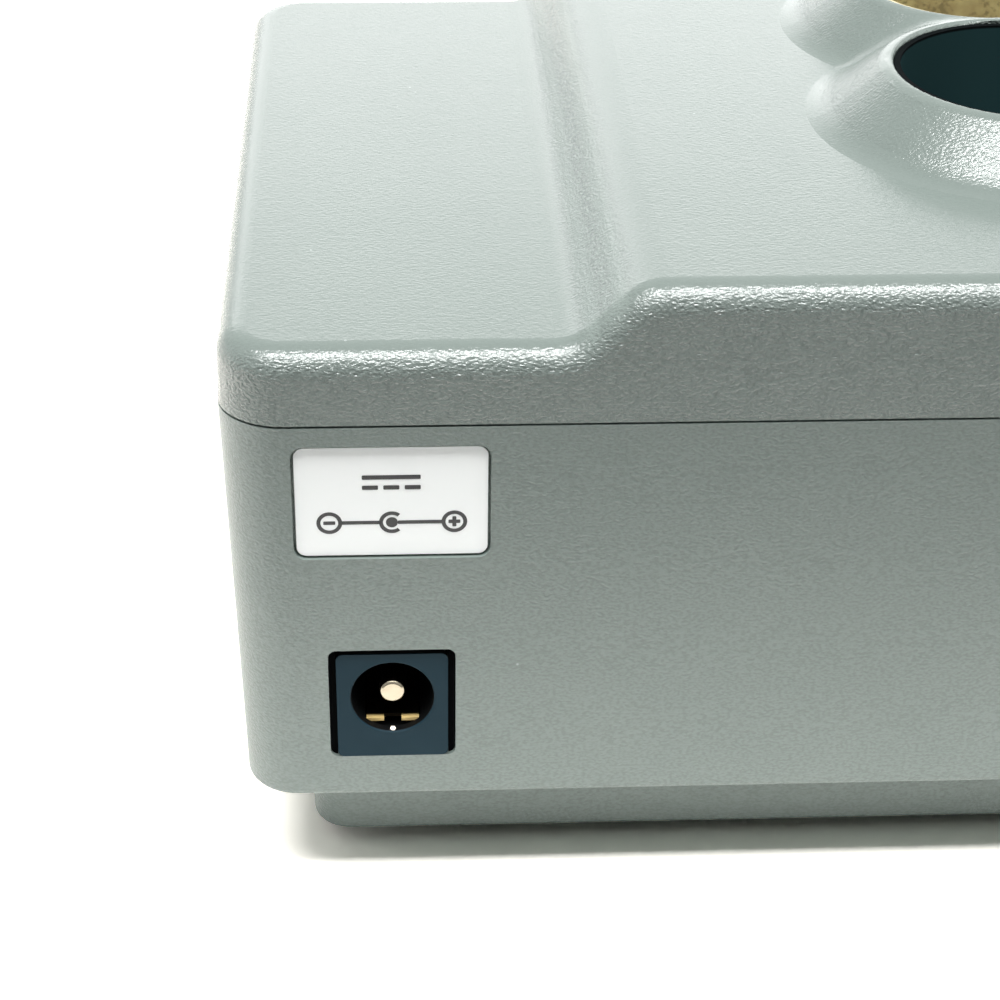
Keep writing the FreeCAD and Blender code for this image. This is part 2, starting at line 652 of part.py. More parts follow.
def dc_jack_body():
    """Square inlet housing with a blind bore, a slot for the leaf and a stepped back."""
    nose = slab(JACK_W, JACK_H, JACK_W / 16, -JACK_BORE_DEPTH / 2, 0)
    nose.translate(V(0, JACK_H / 2 - JACK_BORE_Z, 0))
    flat = JACK_BORE_R + (JACK_W / 2 - JACK_BORE_R) * 0.7
    barrel = rod(flat, -JACK_L, 0)
    root = slab(2 * flat, JACK_BORE_Z, JACK_W / 16, -JACK_L, 0)
    root.translate(V(0, -JACK_BORE_Z / 2, 0))
    body = nose.fuse([barrel, root])
    mouth = Part.makeCone(JACK_BORE_R, JACK_BORE_R + JACK_MOUTH, JACK_MOUTH, V(0, 0, -JACK_MOUTH))
    slot_h = JACK_BORE_Z
    slot = Part.makeBox(LEAF_W + 2 * TAG_GAP, slot_h, JACK_BORE_DEPTH - LEAF_SETBACK + TAG_GAP)
    slot.translate(V(-LEAF_W / 2 - TAG_GAP, -JACK_BORE_R - LEAF_T - TAG_GAP, -JACK_BORE_DEPTH))
    tag_y = tag_places()[1] - jack_y()
    tag_hole = Part.makeBox(TAG_W + 2 * TAG_GAP, JACK_BORE_Z, TAG_T + 2 * TAG_GAP)
    tag_hole.translate(V(-TAG_W / 2 - TAG_GAP, -JACK_BORE_Z - JACK_BORE_R, tag_y - TAG_GAP))
    run = Part.makeBox(LEAF_W + 2 * TAG_GAP, LEAF_T + 2 * TAG_GAP, -JACK_BORE_DEPTH - tag_y + TAG_GAP)
    run.translate(V(-LEAF_W / 2 - TAG_GAP, -JACK_BORE_R - LEAF_T - TAG_GAP, tag_y - TAG_GAP))
    cuts = [rod(JACK_BORE_R, -JACK_BORE_DEPTH, 1), mouth, slot, run, tag_hole,
            rod(JACK_PIN_R, -JACK_L - 1, 0)]
    return to_rear(body.cut(cuts), JACK_X, jack_y(), Z_DECK + JACK_BORE_Z)


def dc_jack_pin():
    """Centre pin, riveted over behind the housing, with its tag."""
    length = JACK_L - JACK_PIN_SETBACK
    pin = rod(JACK_PIN_R, -JACK_L, -JACK_PIN_SETBACK)
    pin = pin.makeFillet(JACK_PIN_R * 0.3, edges_at(pin, -JACK_L + length, -1))
    rivet = rod(JACK_RIVET_R, -JACK_L - JACK_RIVET_T, -JACK_L)
    pin = to_rear(pin.fuse(rivet), JACK_X, jack_y(), Z_DECK + JACK_BORE_Z)
    return pin.fuse(jack_tag(tag_places()[0], Z_DECK + JACK_BORE_Z))


def dc_jack_leaf():
    """Sprung contact: a strip on the bore's floor that rises to a notched end, with a tag."""
    y_back = tag_places()[1]
    y_end = jack_y() - LEAF_SETBACK
    y_bend = y_end - JACK_BORE_DEPTH * 0.4
    z = Z_DECK + JACK_BORE_Z - JACK_BORE_R - LEAF_T
    low = [V(0, y_back, z), V(0, y_bend, z), V(0, y_end, z + LEAF_SPRING)]
    top = [p + V(0, 0, LEAF_T) for p in reversed(low)]
    leaf = Part.Face(Part.makePolygon(low + top + low[:1])).extrude(V(LEAF_W, 0, 0))
    leaf.translate(V(JACK_X - LEAF_W / 2, 0, 0))
    notch = Part.makeBox(LEAF_NOTCH_W, 2 * LEAF_NOTCH_L, JACK_BORE_R)
    notch.translate(V(JACK_X - LEAF_NOTCH_W / 2, y_end - LEAF_NOTCH_L, z))
    return leaf.cut(notch).fuse(jack_tag(y_back, z + LEAF_T))


def main_board():
    """Board on the shelf, cleared for the screw towers, the screws and the tags."""
    g = lean(Z_BOARD) + WALL + BOARD_GAP
    board = slab(WIDTH - 2 * g, DEPTH - 2 * g, BOARD_R, Z_BOARD, Z_DECK)
    cuts = [rod(TOWER_R + HOLE_GAP, Z_SHELF, Z_PART, x, y) for x, y in TOWERS]
    cuts += [rod(BOARD_SCREW_R + SCREW_GAP, Z_SHELF, Z_PART, x, y) for x, y in BOARD_BOSSES]
    for y in tag_places():
        slot = Part.makeBox(TAG_W + 2 * TAG_GAP, TAG_T + 2 * TAG_GAP, BOARD_T * 3)
        slot.translate(V(JACK_X - TAG_W / 2 - TAG_GAP, y - TAG_GAP, Z_BOARD - BOARD_T))
        cuts.append(slot)
    for x in blade_places():
        slot = Part.makeBox(BLADE_W + 2 * TAG_GAP, BLADE_T + 2 * TAG_GAP, BOARD_T * 3)
        slot.translate(V(x - BLADE_W / 2 - TAG_GAP, blade_y() - TAG_GAP, Z_BOARD - BOARD_T))
        cuts.append(slot)
    return board.cut(cuts)


def pin_spots(pcd, step, pins):
    """Pin circle with its gap towards the front."""
    first = -90.0 + (360.0 - (pins - 1) * step) / 2
    angles = [math.radians(first + step * i) for i in range(pins)]
    return [V(pcd / 2 * math.cos(a), pcd / 2 * math.sin(a), 0) for a in angles]


def socket_cup(pcd, step, pins, well_r):
    """Deep socket: a thin skirt up the well, a thick face with clip holes and a key hole."""
    r = well_r - CUP_GAP
    edge = Z_RIM - CUP_SETBACK
    cup = turned_points([(0, Z_SOCKET_DECK), (r, Z_SOCKET_DECK), (r, edge), (r - CUP_WALL, edge),
                         (r - CUP_WALL, Z_FACE), (0, Z_FACE)])
    holes = [rod(CLIP_R + CLIP_GAP, Z_SOCKET_DECK, Z_FACE + 1, p.x, p.y)
             for p in pin_spots(pcd, step, pins)]
    return cup.cut(holes + [rod(KEY_HOLE_R, Z_FACE - KEY_HOLE_DEPTH, Z_FACE + 1)])


def socket_clips(pcd, step, pins, well):
    """One sleeve clip per pin, with a tail through the board."""
    top = Z_FACE - CLIP_SINK
    clip = turned_points([
        (0, Z_SOCKET_BOARD - TAIL_OUT), (TAIL_R, Z_SOCKET_BOARD - TAIL_OUT), (TAIL_R, Z_SOCKET_DECK),
        (CLIP_R, Z_SOCKET_DECK), (CLIP_R, top), (CLIP_BORE_R, top), (CLIP_BORE_R, top - CLIP_L),
        (0, top - CLIP_L)])
    return [clip.translated(p + well) for p in pin_spots(pcd, step, pins)]


def socket_board():
    board = slab(SOCKET_BOARD_W, SOCKET_BOARD_D, BOARD_R, Z_SOCKET_BOARD, Z_SOCKET_DECK)
    cuts = [rod(BOARD_SCREW_R + SCREW_GAP, Z_SHELF, Z_TOP, x, y) for x, y in HANGERS]
    for well, spots in ((FRONT_WELL, pin_spots(MINI_PCD, MINI_STEP_DEG, MINI_PINS)),
                        (REAR_WELL, pin_spots(NOVAL_PCD, NOVAL_STEP_DEG, NOVAL_PINS))):
        cuts += [rod(TAIL_R + CLIP_GAP, Z_SHELF, Z_TOP, p.x + well.x, p.y + well.y) for p in spots]
    return board.cut(cuts)


def arched(w, low, depth):
    """Upright switch body: flat foot at height low, round top of width w, behind the wall."""
    r = w / 2
    face = Part.Face(wire([
        line(V(-r, low, 0), V(r, low, 0)), line(V(r, low, 0), V(r, 0, 0)),
        arc(V(r, 0, 0), V(0, r, 0), V(-r, 0, 0)), line(V(-r, 0, 0), V(-r, low, 0))]))
    body = face.extrude(V(0, 0, -depth))
    body.translate(V(0, 0, -PANEL_T))
    return body


def nut(af, bush_r):
    ring = hexagon(af, 0, NUT_T)
    crown = rod(af / 2 * 1.12, 0, NUT_T)
    crown = crown.makeChamfer(NUT_T / 6, edges_at(crown, NUT_T, -1))
    return ring.common(crown).cut(rod(bush_r + SCREW_GAP, -1, NUT_T + 1))


def selector_switch():
    """Rotary switch standing on the board, with a threaded bushing through the wall."""
    body = arched(SELECTOR_W, Z_DECK - Z_CONTROL, SELECTOR_L)
    bush = rod(SELECTOR_BUSH_R, -PANEL_T - 1, NUT_T + BUSH_PROUD)
    bore = rod(SHAFT_R + RUN_GAP, -PANEL_T - SHAFT_IN, NUT_T + BUSH_PROUD + 1)
    return to_front(body.fuse(bush).cut(bore), SELECTOR_X, SELECTOR_Y, Z_CONTROL)


def selector_nut():
    return to_front(nut(SELECTOR_NUT_AF, SELECTOR_BUSH_R), SELECTOR_X, SELECTOR_Y, Z_CONTROL)


def knob_back():
    """Back of the knob, out from the switch's seat, so that the skirt clears the wall."""
    return SELECTOR_Y - front_y(Z_CONTROL + KNOB_SKIRT_R) + KNOB_GAP


def selector_shaft():
    shaft = rod(SHAFT_R, -PANEL_T - SHAFT_IN + RUN_GAP, knob_back() + KNOB_BORE)
    return to_front(shaft, SELECTOR_X, SELECTOR_Y, Z_CONTROL)


def knob_form():
    """Fluted knob on a skirt, hollow behind to clear the nut; back at Z = 0."""
    clear = SELECTOR_NUT_AF / math.sqrt(3) + SEAT_GAP
    hollow = NUT_T + BUSH_PROUD + SEAT_GAP
    knob = turned_points([
        (SHAFT_R, hollow), (clear, hollow), (clear, 0), (KNOB_SKIRT_R, 0),
        (KNOB_SKIRT_R, KNOB_SKIRT_T), (KNOB_R, KNOB_SKIRT_T + (KNOB_SKIRT_R - KNOB_R) / 2),
        (KNOB_NOSE_R, KNOB_H), (0, KNOB_H), (0, KNOB_BORE), (SHAFT_R, KNOB_BORE)])
    knob = knob.makeFillet(KNOB_ROUND, edges_at(knob, KNOB_H, -1))
    cutter = rod(KNOB_FLUTE_R, KNOB_SKIRT_T + KNOB_SKIRT_R - KNOB_R, KNOB_H + 1, KNOB_R + KNOB_FLUTE_R / 2)
    flutes = []
    for i in range(KNOB_FLUTES):
        flute = cutter.copy()
        flute.rotate(HERE, Z_AXIS, 90 + (i + 0.5) * 360 / KNOB_FLUTES)
        flutes.append(flute)
    return knob.cut(flutes)


def pointer_bar():
    bar = Part.makeBox(POINTER_W, KNOB_NOSE_R - KNOB_ROUND - SHAFT_R / 2, POINTER_T)
    bar.translate(V(-POINTER_W / 2, SHAFT_R / 2, KNOB_H - POINTER_T))
    return bar


def on_knob(shape):
    return to_front(shape, SELECTOR_X, SELECTOR_Y - knob_back(), Z_CONTROL)


def selector_knob():
    return on_knob(knob_form().cut(pointer_bar()))


def knob_pointer():
    return on_knob(pointer_bar())


def test_levels():
    """Bushing's face, flange's front, flange's back and the spring's seat, out from the wall."""
    flange = -PANEL_T - TEST_FRONT_T
    return NUT_T + BUSH_PROUD, flange, flange - PLUNGER_FLANGE_T, flange - PLUNGER_FLANGE_T - SPRING_L


def test_switch():
    """Push switch standing on the board: bushing, flange chamber and closed back."""
    face, flange, _, seat = test_levels()
    body = arched(TEST_W, Z_DECK - Z_CONTROL, -PANEL_T - seat + TEST_BACK_T)
    bush = rod(TEST_BUSH_R, -PANEL_T - TEST_FRONT_T / 2, face)
    bore = rod(PLUNGER_R + RUN_GAP, flange, face + 1)
    chamber = rod(PLUNGER_FLANGE_R + FLANGE_GAP, seat, flange)
    return to_front(body.fuse(bush).cut([bore, chamber]), TEST_X, TEST_Y, Z_CONTROL)


def test_nut():
    return to_front(nut(TEST_NUT_AF, TEST_BUSH_R), TEST_X, TEST_Y, Z_CONTROL)


def test_plunger():
    """Button cap with a flange that stops it at the bushing."""
    face, flange, back, _ = test_levels()
    out = face + PLUNGER_OUT
    cap = rod(PLUNGER_R, flange, out)
    cap = cap.makeFillet(PLUNGER_ROUND, edges_at(cap, out, -1))
    return to_front(cap.fuse(rod(PLUNGER_FLANGE_R, back, flange)), TEST_X, TEST_Y, Z_CONTROL)


def test_spring():
    """Return spring between the flange and the closed back, one unbroken wire."""
    _, _, back, seat = test_levels()
    rise = (back - seat - 2 * SPRING_WIRE_R) / SPRING_TURNS
    rings = []
    for i in range(SPRING_TURNS * SPRING_STEPS + 1):
        a = 2 * math.pi * i / SPRING_STEPS
        out = V(math.cos(a), math.sin(a), 0)
        middle = out * SPRING_R + Z_AXIS * (rise * i / SPRING_STEPS)
        turn = [math.radians(b) for b in range(0, 405, 45)]
        rings.append(Part.makePolygon([
            middle + (out * math.cos(b) + Z_AXIS * math.sin(b)) * SPRING_WIRE_R for b in turn]))
    coil = Part.makeLoft(rings, True, True)
    coil.translate(V(0, 0, seat + SPRING_WIRE_R))
    print("spring: least gap between turns %.2f mm" % (rise - 2 * SPRING_WIRE_R))
    return to_front(coil, TEST_X, TEST_Y, Z_CONTROL)


def power_switch():
    """Rocker switch frame: lip on the wall, box through it, bearings for the rocker."""
    lip = slab(FRAME_W, FRAME_L, FRAME_R, 0, FRAME_T)
    lip = lip.makeChamfer(FRAME_T / 3, edges_at(lip, FRAME_T, -1, -1))
    box = slab(FRAME_BODY_W, FRAME_BODY_L, FRAME_R / 2, -PANEL_T - POWER_L, 0)
    well = slab(FRAME_IN_W, FRAME_IN_L, FRAME_R / 3, -PANEL_T - POWER_L + FRAME_WALL, FRAME_T + 1)
    bearing = rod(ROCKER_PIN_R + RUN_GAP, -FRAME_IN_W / 2 - ROCKER_PIN_L, FRAME_IN_W / 2 + ROCKER_PIN_L)
    bearing.rotate(HERE, Y_AXIS, 90)
    bearing.translate(V(0, 0, -ROCKER_PIVOT_DROP))
    return to_front(lip.fuse(box).cut([well, bearing]), POWER_X, POWER_Y, Z_CONTROL)


def blade_y():
    return POWER_Y + PANEL_T + POWER_L - 2 * BLADE_T


def blade_places():
    return [POWER_X - BLADE_PITCH / 2, POWER_X + BLADE_PITCH / 2]


def power_blades():
    """Two blades from the rocker switch's underside down through the board."""
    low, high = Z_BOARD - TAIL_OUT, Z_CONTROL - FRAME_BODY_L / 2
    blades = []
    for x in blade_places():
        blade = Part.makeBox(BLADE_W, BLADE_T, high - low)
        blade.translate(V(x - BLADE_W / 2, blade_y(), low))
        blades.append(blade)
    return blades


def power_rocker():
    """Dished rocker on two stub pins, resting with its upper end pressed in."""
    end, root = ROCKER_L / 2, ROCKER_ROOT_L / 2
    corners = [V(0, -end, 0), V(0, -end, ROCKER_NOSE), V(0, 0, ROCKER_SADDLE), V(0, end, ROCKER_NOSE),
               V(0, end, 0), V(0, root, -ROCKER_ROOT), V(0, -root, -ROCKER_ROOT)]
    side = wire([line(corners[0], corners[1]), arc(corners[1], corners[2], corners[3]),
                 line(corners[3], corners[4]), line(corners[4], corners[5]),
                 line(corners[5], corners[6]), line(corners[6], corners[0])])
    body = Part.Face(side).extrude(V(ROCKER_W, 0, 0))
    body.translate(V(-ROCKER_W / 2, 0, 0))
    reach = ROCKER_W / 2 + ROCKER_GAP + ROCKER_PIN_L - RUN_GAP
    pin = rod(ROCKER_PIN_R, -reach, reach)
    pin.rotate(HERE, Y_AXIS, 90)
    pivot = V(0, 0, -ROCKER_PIVOT_DROP)
    pin.translate(pivot)
    rocker = body.fuse(pin)
    rocker.rotate(pivot, X_AXIS, -ROCKER_SWING_DEG / 2)
    return to_front(rocker, POWER_X, POWER_Y, Z_CONTROL)


def led(x):
    """Domed lamp on a flange that rests on the holder."""
    tip = PANEL_T + LED_OUT
    dome = tip - LED_R
    lamp = turned([
        line(V(0, 0, 0), V(LED_BASE_R, 0, 0)), line(V(LED_BASE_R, 0, 0), V(LED_BASE_R, 0, LED_BASE_T)),
        line(V(LED_BASE_R, 0, LED_BASE_T), V(LED_R, 0, LED_BASE_T)),
        line(V(LED_R, 0, LED_BASE_T), V(LED_R, 0, dome)),
        arc(V(LED_R, 0, dome), V(LED_R * math.sqrt(0.5), 0, dome + LED_R * math.sqrt(0.5)), V(0, 0, tip)),
        line(V(0, 0, tip), V(0, 0, 0))])
    lamp.translate(V(0, 0, -PANEL_T - LED_BASE_T))
    return to_front(lamp, x, LED_Y, Z_LED)


def led_bezels():
    """Flanged collars in the wall round the lamps."""
    inner = LED_R + LED_GAP
    bezel = turned_points([(inner, -PANEL_T), (BEZEL_TUBE_R, -PANEL_T), (BEZEL_TUBE_R, 0), (BEZEL_R, 0),
                           (BEZEL_R, BEZEL_T / 2), (BEZEL_R - BEZEL_T / 2, BEZEL_T), (inner, BEZEL_T)])
    return [to_front(bezel.copy(), x, LED_Y, Z_LED) for x in LED_SPOTS]


def led_block():
    """Holder that carries the lamps up from the board."""
    w = 2 * (LED_PITCH + LED_BASE_R + LED_BLOCK_EDGE)
    low, high = Z_DECK - Z_LED, LED_BASE_R + LED_BLOCK_EDGE
    back = -PANEL_T - LED_BASE_T
    block = slab(w, high - low, LED_BLOCK_EDGE / 2, back - LED_BLOCK_D, back)
    block.translate(V(0, (low + high) / 2, 0))
    slots = []
    for i in (-0.5, 0.5):
        slot = slab(LED_PITCH / 3, high - low, LED_BLOCK_EDGE / 2, back - 2 * LED_BLOCK_D, back + 1)
        slot.translate(V(i * LED_PITCH, (low + high) / 2 + 2 * LED_BASE_R, 0))
        slots.append(slot)
    return to_front(block.cut(slots), LED_X, LED_Y, Z_LED)


def transformer_core():
    """Window core standing on the board, its middle leg inside the winding."""
    core = Part.makeBox(CORE_W, CORE_D, CORE_H, V(-CORE_W / 2, -CORE_D / 2, 0))
    w = (CORE_W - 4 * CORE_LEG) / 2
    for x in (-CORE_LEG - w, CORE_LEG):
        core = core.cut(Part.makeBox(w, CORE_D, CORE_H - 2 * CORE_LEG, V(x, -CORE_D / 2, CORE_LEG)))
    return core.translated(V(CORE_X, CORE_Y, Z_DECK))


def transformer_winding():
    w = (CORE_W - 4 * CORE_LEG) / 2
    z0, z1 = CORE_LEG, CORE_H - CORE_LEG
    coil = slab(2 * (CORE_LEG + w), COIL_D, w, z0, z1)
    core = Part.makeBox(2 * CORE_LEG, CORE_D, CORE_H, V(-CORE_LEG, -CORE_D / 2, 0))
    return coil.cut(core).translated(V(CORE_X, CORE_Y, Z_DECK))


def capacitors():
    can = rod(CAP_R, 0, CAP_H)
    can = can.makeFillet(CAP_ROUND, edges_at(can, CAP_H, -1))
    return [can.translated(V(CAP_X, CAP_Y + i * CAP_PITCH, Z_DECK)) for i in (0, 1)]


def chips():
    """Dual-in-line packages with a pin-one notch."""
    chip = Part.makeBox(CHIP_W, CHIP_D, CHIP_H, V(-CHIP_W / 2, -CHIP_D / 2, 0))
    chip = chip.makeChamfer(CHIP_H / 5, edges_at(chip, CHIP_H, -1))
    chip = chip.cut(rod(CHIP_D / 8, CHIP_H / 2, CHIP_H + 1, -CHIP_W / 2))
    return [chip.translated(V(CHIP_X + i * CHIP_PITCH, CHIP_Y, Z_DECK)) for i in range(3)]


def heat_sink():
    """Finned extrusion: one web with fins on its front side."""
    sink = Part.makeBox(SINK_W, SINK_WEB_T, SINK_H)
    pitch = (SINK_W - SINK_FIN_T) / (SINK_FINS - 1)
    fins = [Part.makeBox(SINK_FIN_T, SINK_D, SINK_H, V(i * pitch, SINK_WEB_T - SINK_D, 0))
            for i in range(SINK_FINS)]
    return sink.fuse(fins).removeSplitter().translated(V(SINK_FROM_SIDE - WIDTH / 2 - SINK_W / 2, SINK_Y, Z_DECK))


def ribbon_headers():
    low = slab(HEADER_W, HEADER_D, HEADER_D / 8, Z_DECK, Z_DECK + HEADER_H, 0, HEADER_LOW_Y)
    high = slab(HEADER_W, HEADER_D, HEADER_D / 8, Z_SOCKET_BOARD - HEADER_H, Z_SOCKET_BOARD, 0, HEADER_TOP_Y)
    return [low, high]


def board_ribbon():
    """Flat cable between the two headers, with one easy bend each way."""
    z0, z1 = Z_DECK + HEADER_H, Z_SOCKET_BOARD - HEADER_H
    mid, step = (z0 + z1) / 2, HEADER_LOW_Y - HEADER_TOP_Y
    r = min(RIBBON_R, step / 2)
    k = r * math.sqrt(0.5)
    a, b = HEADER_LOW_Y, HEADER_TOP_Y
    path = [line(V(0, a, z0), V(0, a, mid - r)),
            arc(V(0, a, mid - r), V(0, a - r + k, mid - r + k), V(0, a - r, mid))]
    if step > 2 * r:
        path.append(line(V(0, a - r, mid), V(0, b + r, mid)))
    path += [arc(V(0, b + r, mid), V(0, b + r - k, mid + r - k), V(0, b, mid + r)),
             line(V(0, b, mid + r), V(0, b, z1))]
    strip = slab(RIBBON_W, RIBBON_T, RIBBON_T / 4, z0, z0 + 1, 0, a).Faces
    start = min(strip, key=lambda f: f.CenterOfMass.z).OuterWire
    return wire(path).makePipeShell([start], True, False)


def one_solid(shape):
    """The single solid of a part built by booleans."""
    if len(shape.Solids) != 1:
        raise ValueError("expected one solid, got %d" % len(shape.Solids))
    return shape.Solids[0]


def write(node, shapes):
    """Write one node: a single solid, or a group of equal pieces."""
    if not isinstance(shapes, list):
        shapes = [shapes]
    solids = [one_solid(s) for s in shapes]
    body = solids[0] if len(solids) == 1 else Part.makeCompound(solids)
    if not body.isValid():
        raise ValueError("bad shape in " + node)
    body.translate(V(0, (knob_back() + KNOB_H - SELECTOR_Y - DEPTH / 2) / 2, 0))
    body.exportStep("parts/" + node + ".step")


def main():
    os.makedirs("parts", exist_ok=True)
    nodes = [lower_shell, upper_shell, rating_label, rubber_feet, case_screws, main_board, board_screws,
             dc_jack_body, dc_jack_pin, dc_jack_leaf, socket_board, socket_screws,
             selector_switch, selector_nut, selector_shaft, selector_knob, knob_pointer,
             test_switch, test_nut, test_plunger, test_spring, power_switch, power_blades, power_rocker,
             led_block, led_bezels, transformer_core, transformer_winding, capacitors, chips, heat_sink,
             ribbon_headers, board_ribbon]
    for build in nodes:
        write(build.__name__, build())
    mini = (MINI_PCD, MINI_STEP_DEG, MINI_PINS)
    noval = (NOVAL_PCD, NOVAL_STEP_DEG, NOVAL_PINS)
    write("miniature_socket", socket_cup(*mini, MINI_WELL_R).translated(FRONT_WELL))
    write("miniature_contacts", socket_clips(*mini, FRONT_WELL))
    write("noval_socket", socket_cup(*noval, NOVAL_WELL_R).translated(REAR_WELL))
    write("noval_contacts", socket_clips(*noval, REAR_WELL))
    for node, x in zip(("led_green", "led_amber", "led_red"), LED_SPOTS):
        write(node, led(x))


main()
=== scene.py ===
"""Looks of a compact bench tester for miniature radio tubes.

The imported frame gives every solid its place. This script gives each one its finish, adds the
printed marks and small fittings, and sets the floor, the light and the camera.
"""

import logging
import math
from dataclasses import dataclass
from enum import Enum
from typing import Iterable, Sequence

import bpy
from mathutils import Matrix, Vector


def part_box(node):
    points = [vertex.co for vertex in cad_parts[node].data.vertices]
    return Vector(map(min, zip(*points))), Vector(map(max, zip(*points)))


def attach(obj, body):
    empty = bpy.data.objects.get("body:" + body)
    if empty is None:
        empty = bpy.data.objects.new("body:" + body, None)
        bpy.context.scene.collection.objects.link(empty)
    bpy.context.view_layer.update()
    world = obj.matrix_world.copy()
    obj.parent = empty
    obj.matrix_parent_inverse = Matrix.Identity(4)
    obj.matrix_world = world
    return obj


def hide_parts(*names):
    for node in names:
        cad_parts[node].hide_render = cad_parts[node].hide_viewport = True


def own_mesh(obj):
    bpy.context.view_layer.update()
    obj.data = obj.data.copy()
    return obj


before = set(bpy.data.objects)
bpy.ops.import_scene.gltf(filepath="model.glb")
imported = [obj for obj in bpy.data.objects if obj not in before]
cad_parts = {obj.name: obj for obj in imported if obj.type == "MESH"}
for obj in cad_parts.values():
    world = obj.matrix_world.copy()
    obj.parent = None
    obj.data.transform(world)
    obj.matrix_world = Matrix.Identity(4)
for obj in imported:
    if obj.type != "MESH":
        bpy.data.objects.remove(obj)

LOG = logging.getLogger("tube_tester")
MM = 0.001

RGB = tuple[float, float, float]
Point = tuple[float, float, float]
Pair = tuple[float, float]
Socket = bpy.types.NodeSocket

UP = Vector((0.0, 0.0, 1.0))
BACK = Vector((0.0, 1.0, 0.0))
FRONT = Vector((0.0, -1.0, 0.0))
STAND_OFF = 10.0 * MM


class Body(Enum):
    """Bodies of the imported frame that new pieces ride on."""

    CASE = "case"
    ROCKER = "rocker"


class Slot(Enum):
    """Material slots of the record that new pieces take their finish from."""

    BLACK = "black_plastic"
    WHITE = "marker_white"
    NICKEL = "nickel"
    STEEL = "steel"


class Lay(Enum):
    """Way a bump or a drift of colour lies on a surface."""

    EVEN = (1.0, 1.0, 1.0)
    ALONG_Y = (1.0, 0.08, 1.0)
    SPARK = (0.62, 1.0, 1.0)


def linear(colour: RGB) -> tuple[float, float, float, float]:
    """Turn a display colour into the shader's own scale.

    Args:
        colour: Red, green and blue from 0 to 255.

    Returns:
        The colour as linear values with full alpha.
    """
    parts = [c / 255.0 for c in colour]
    lin = [p / 12.92 if p <= 0.04045 else ((p + 0.055) / 1.055) ** 2.4 for p in parts]
    return lin[0], lin[1], lin[2], 1.0


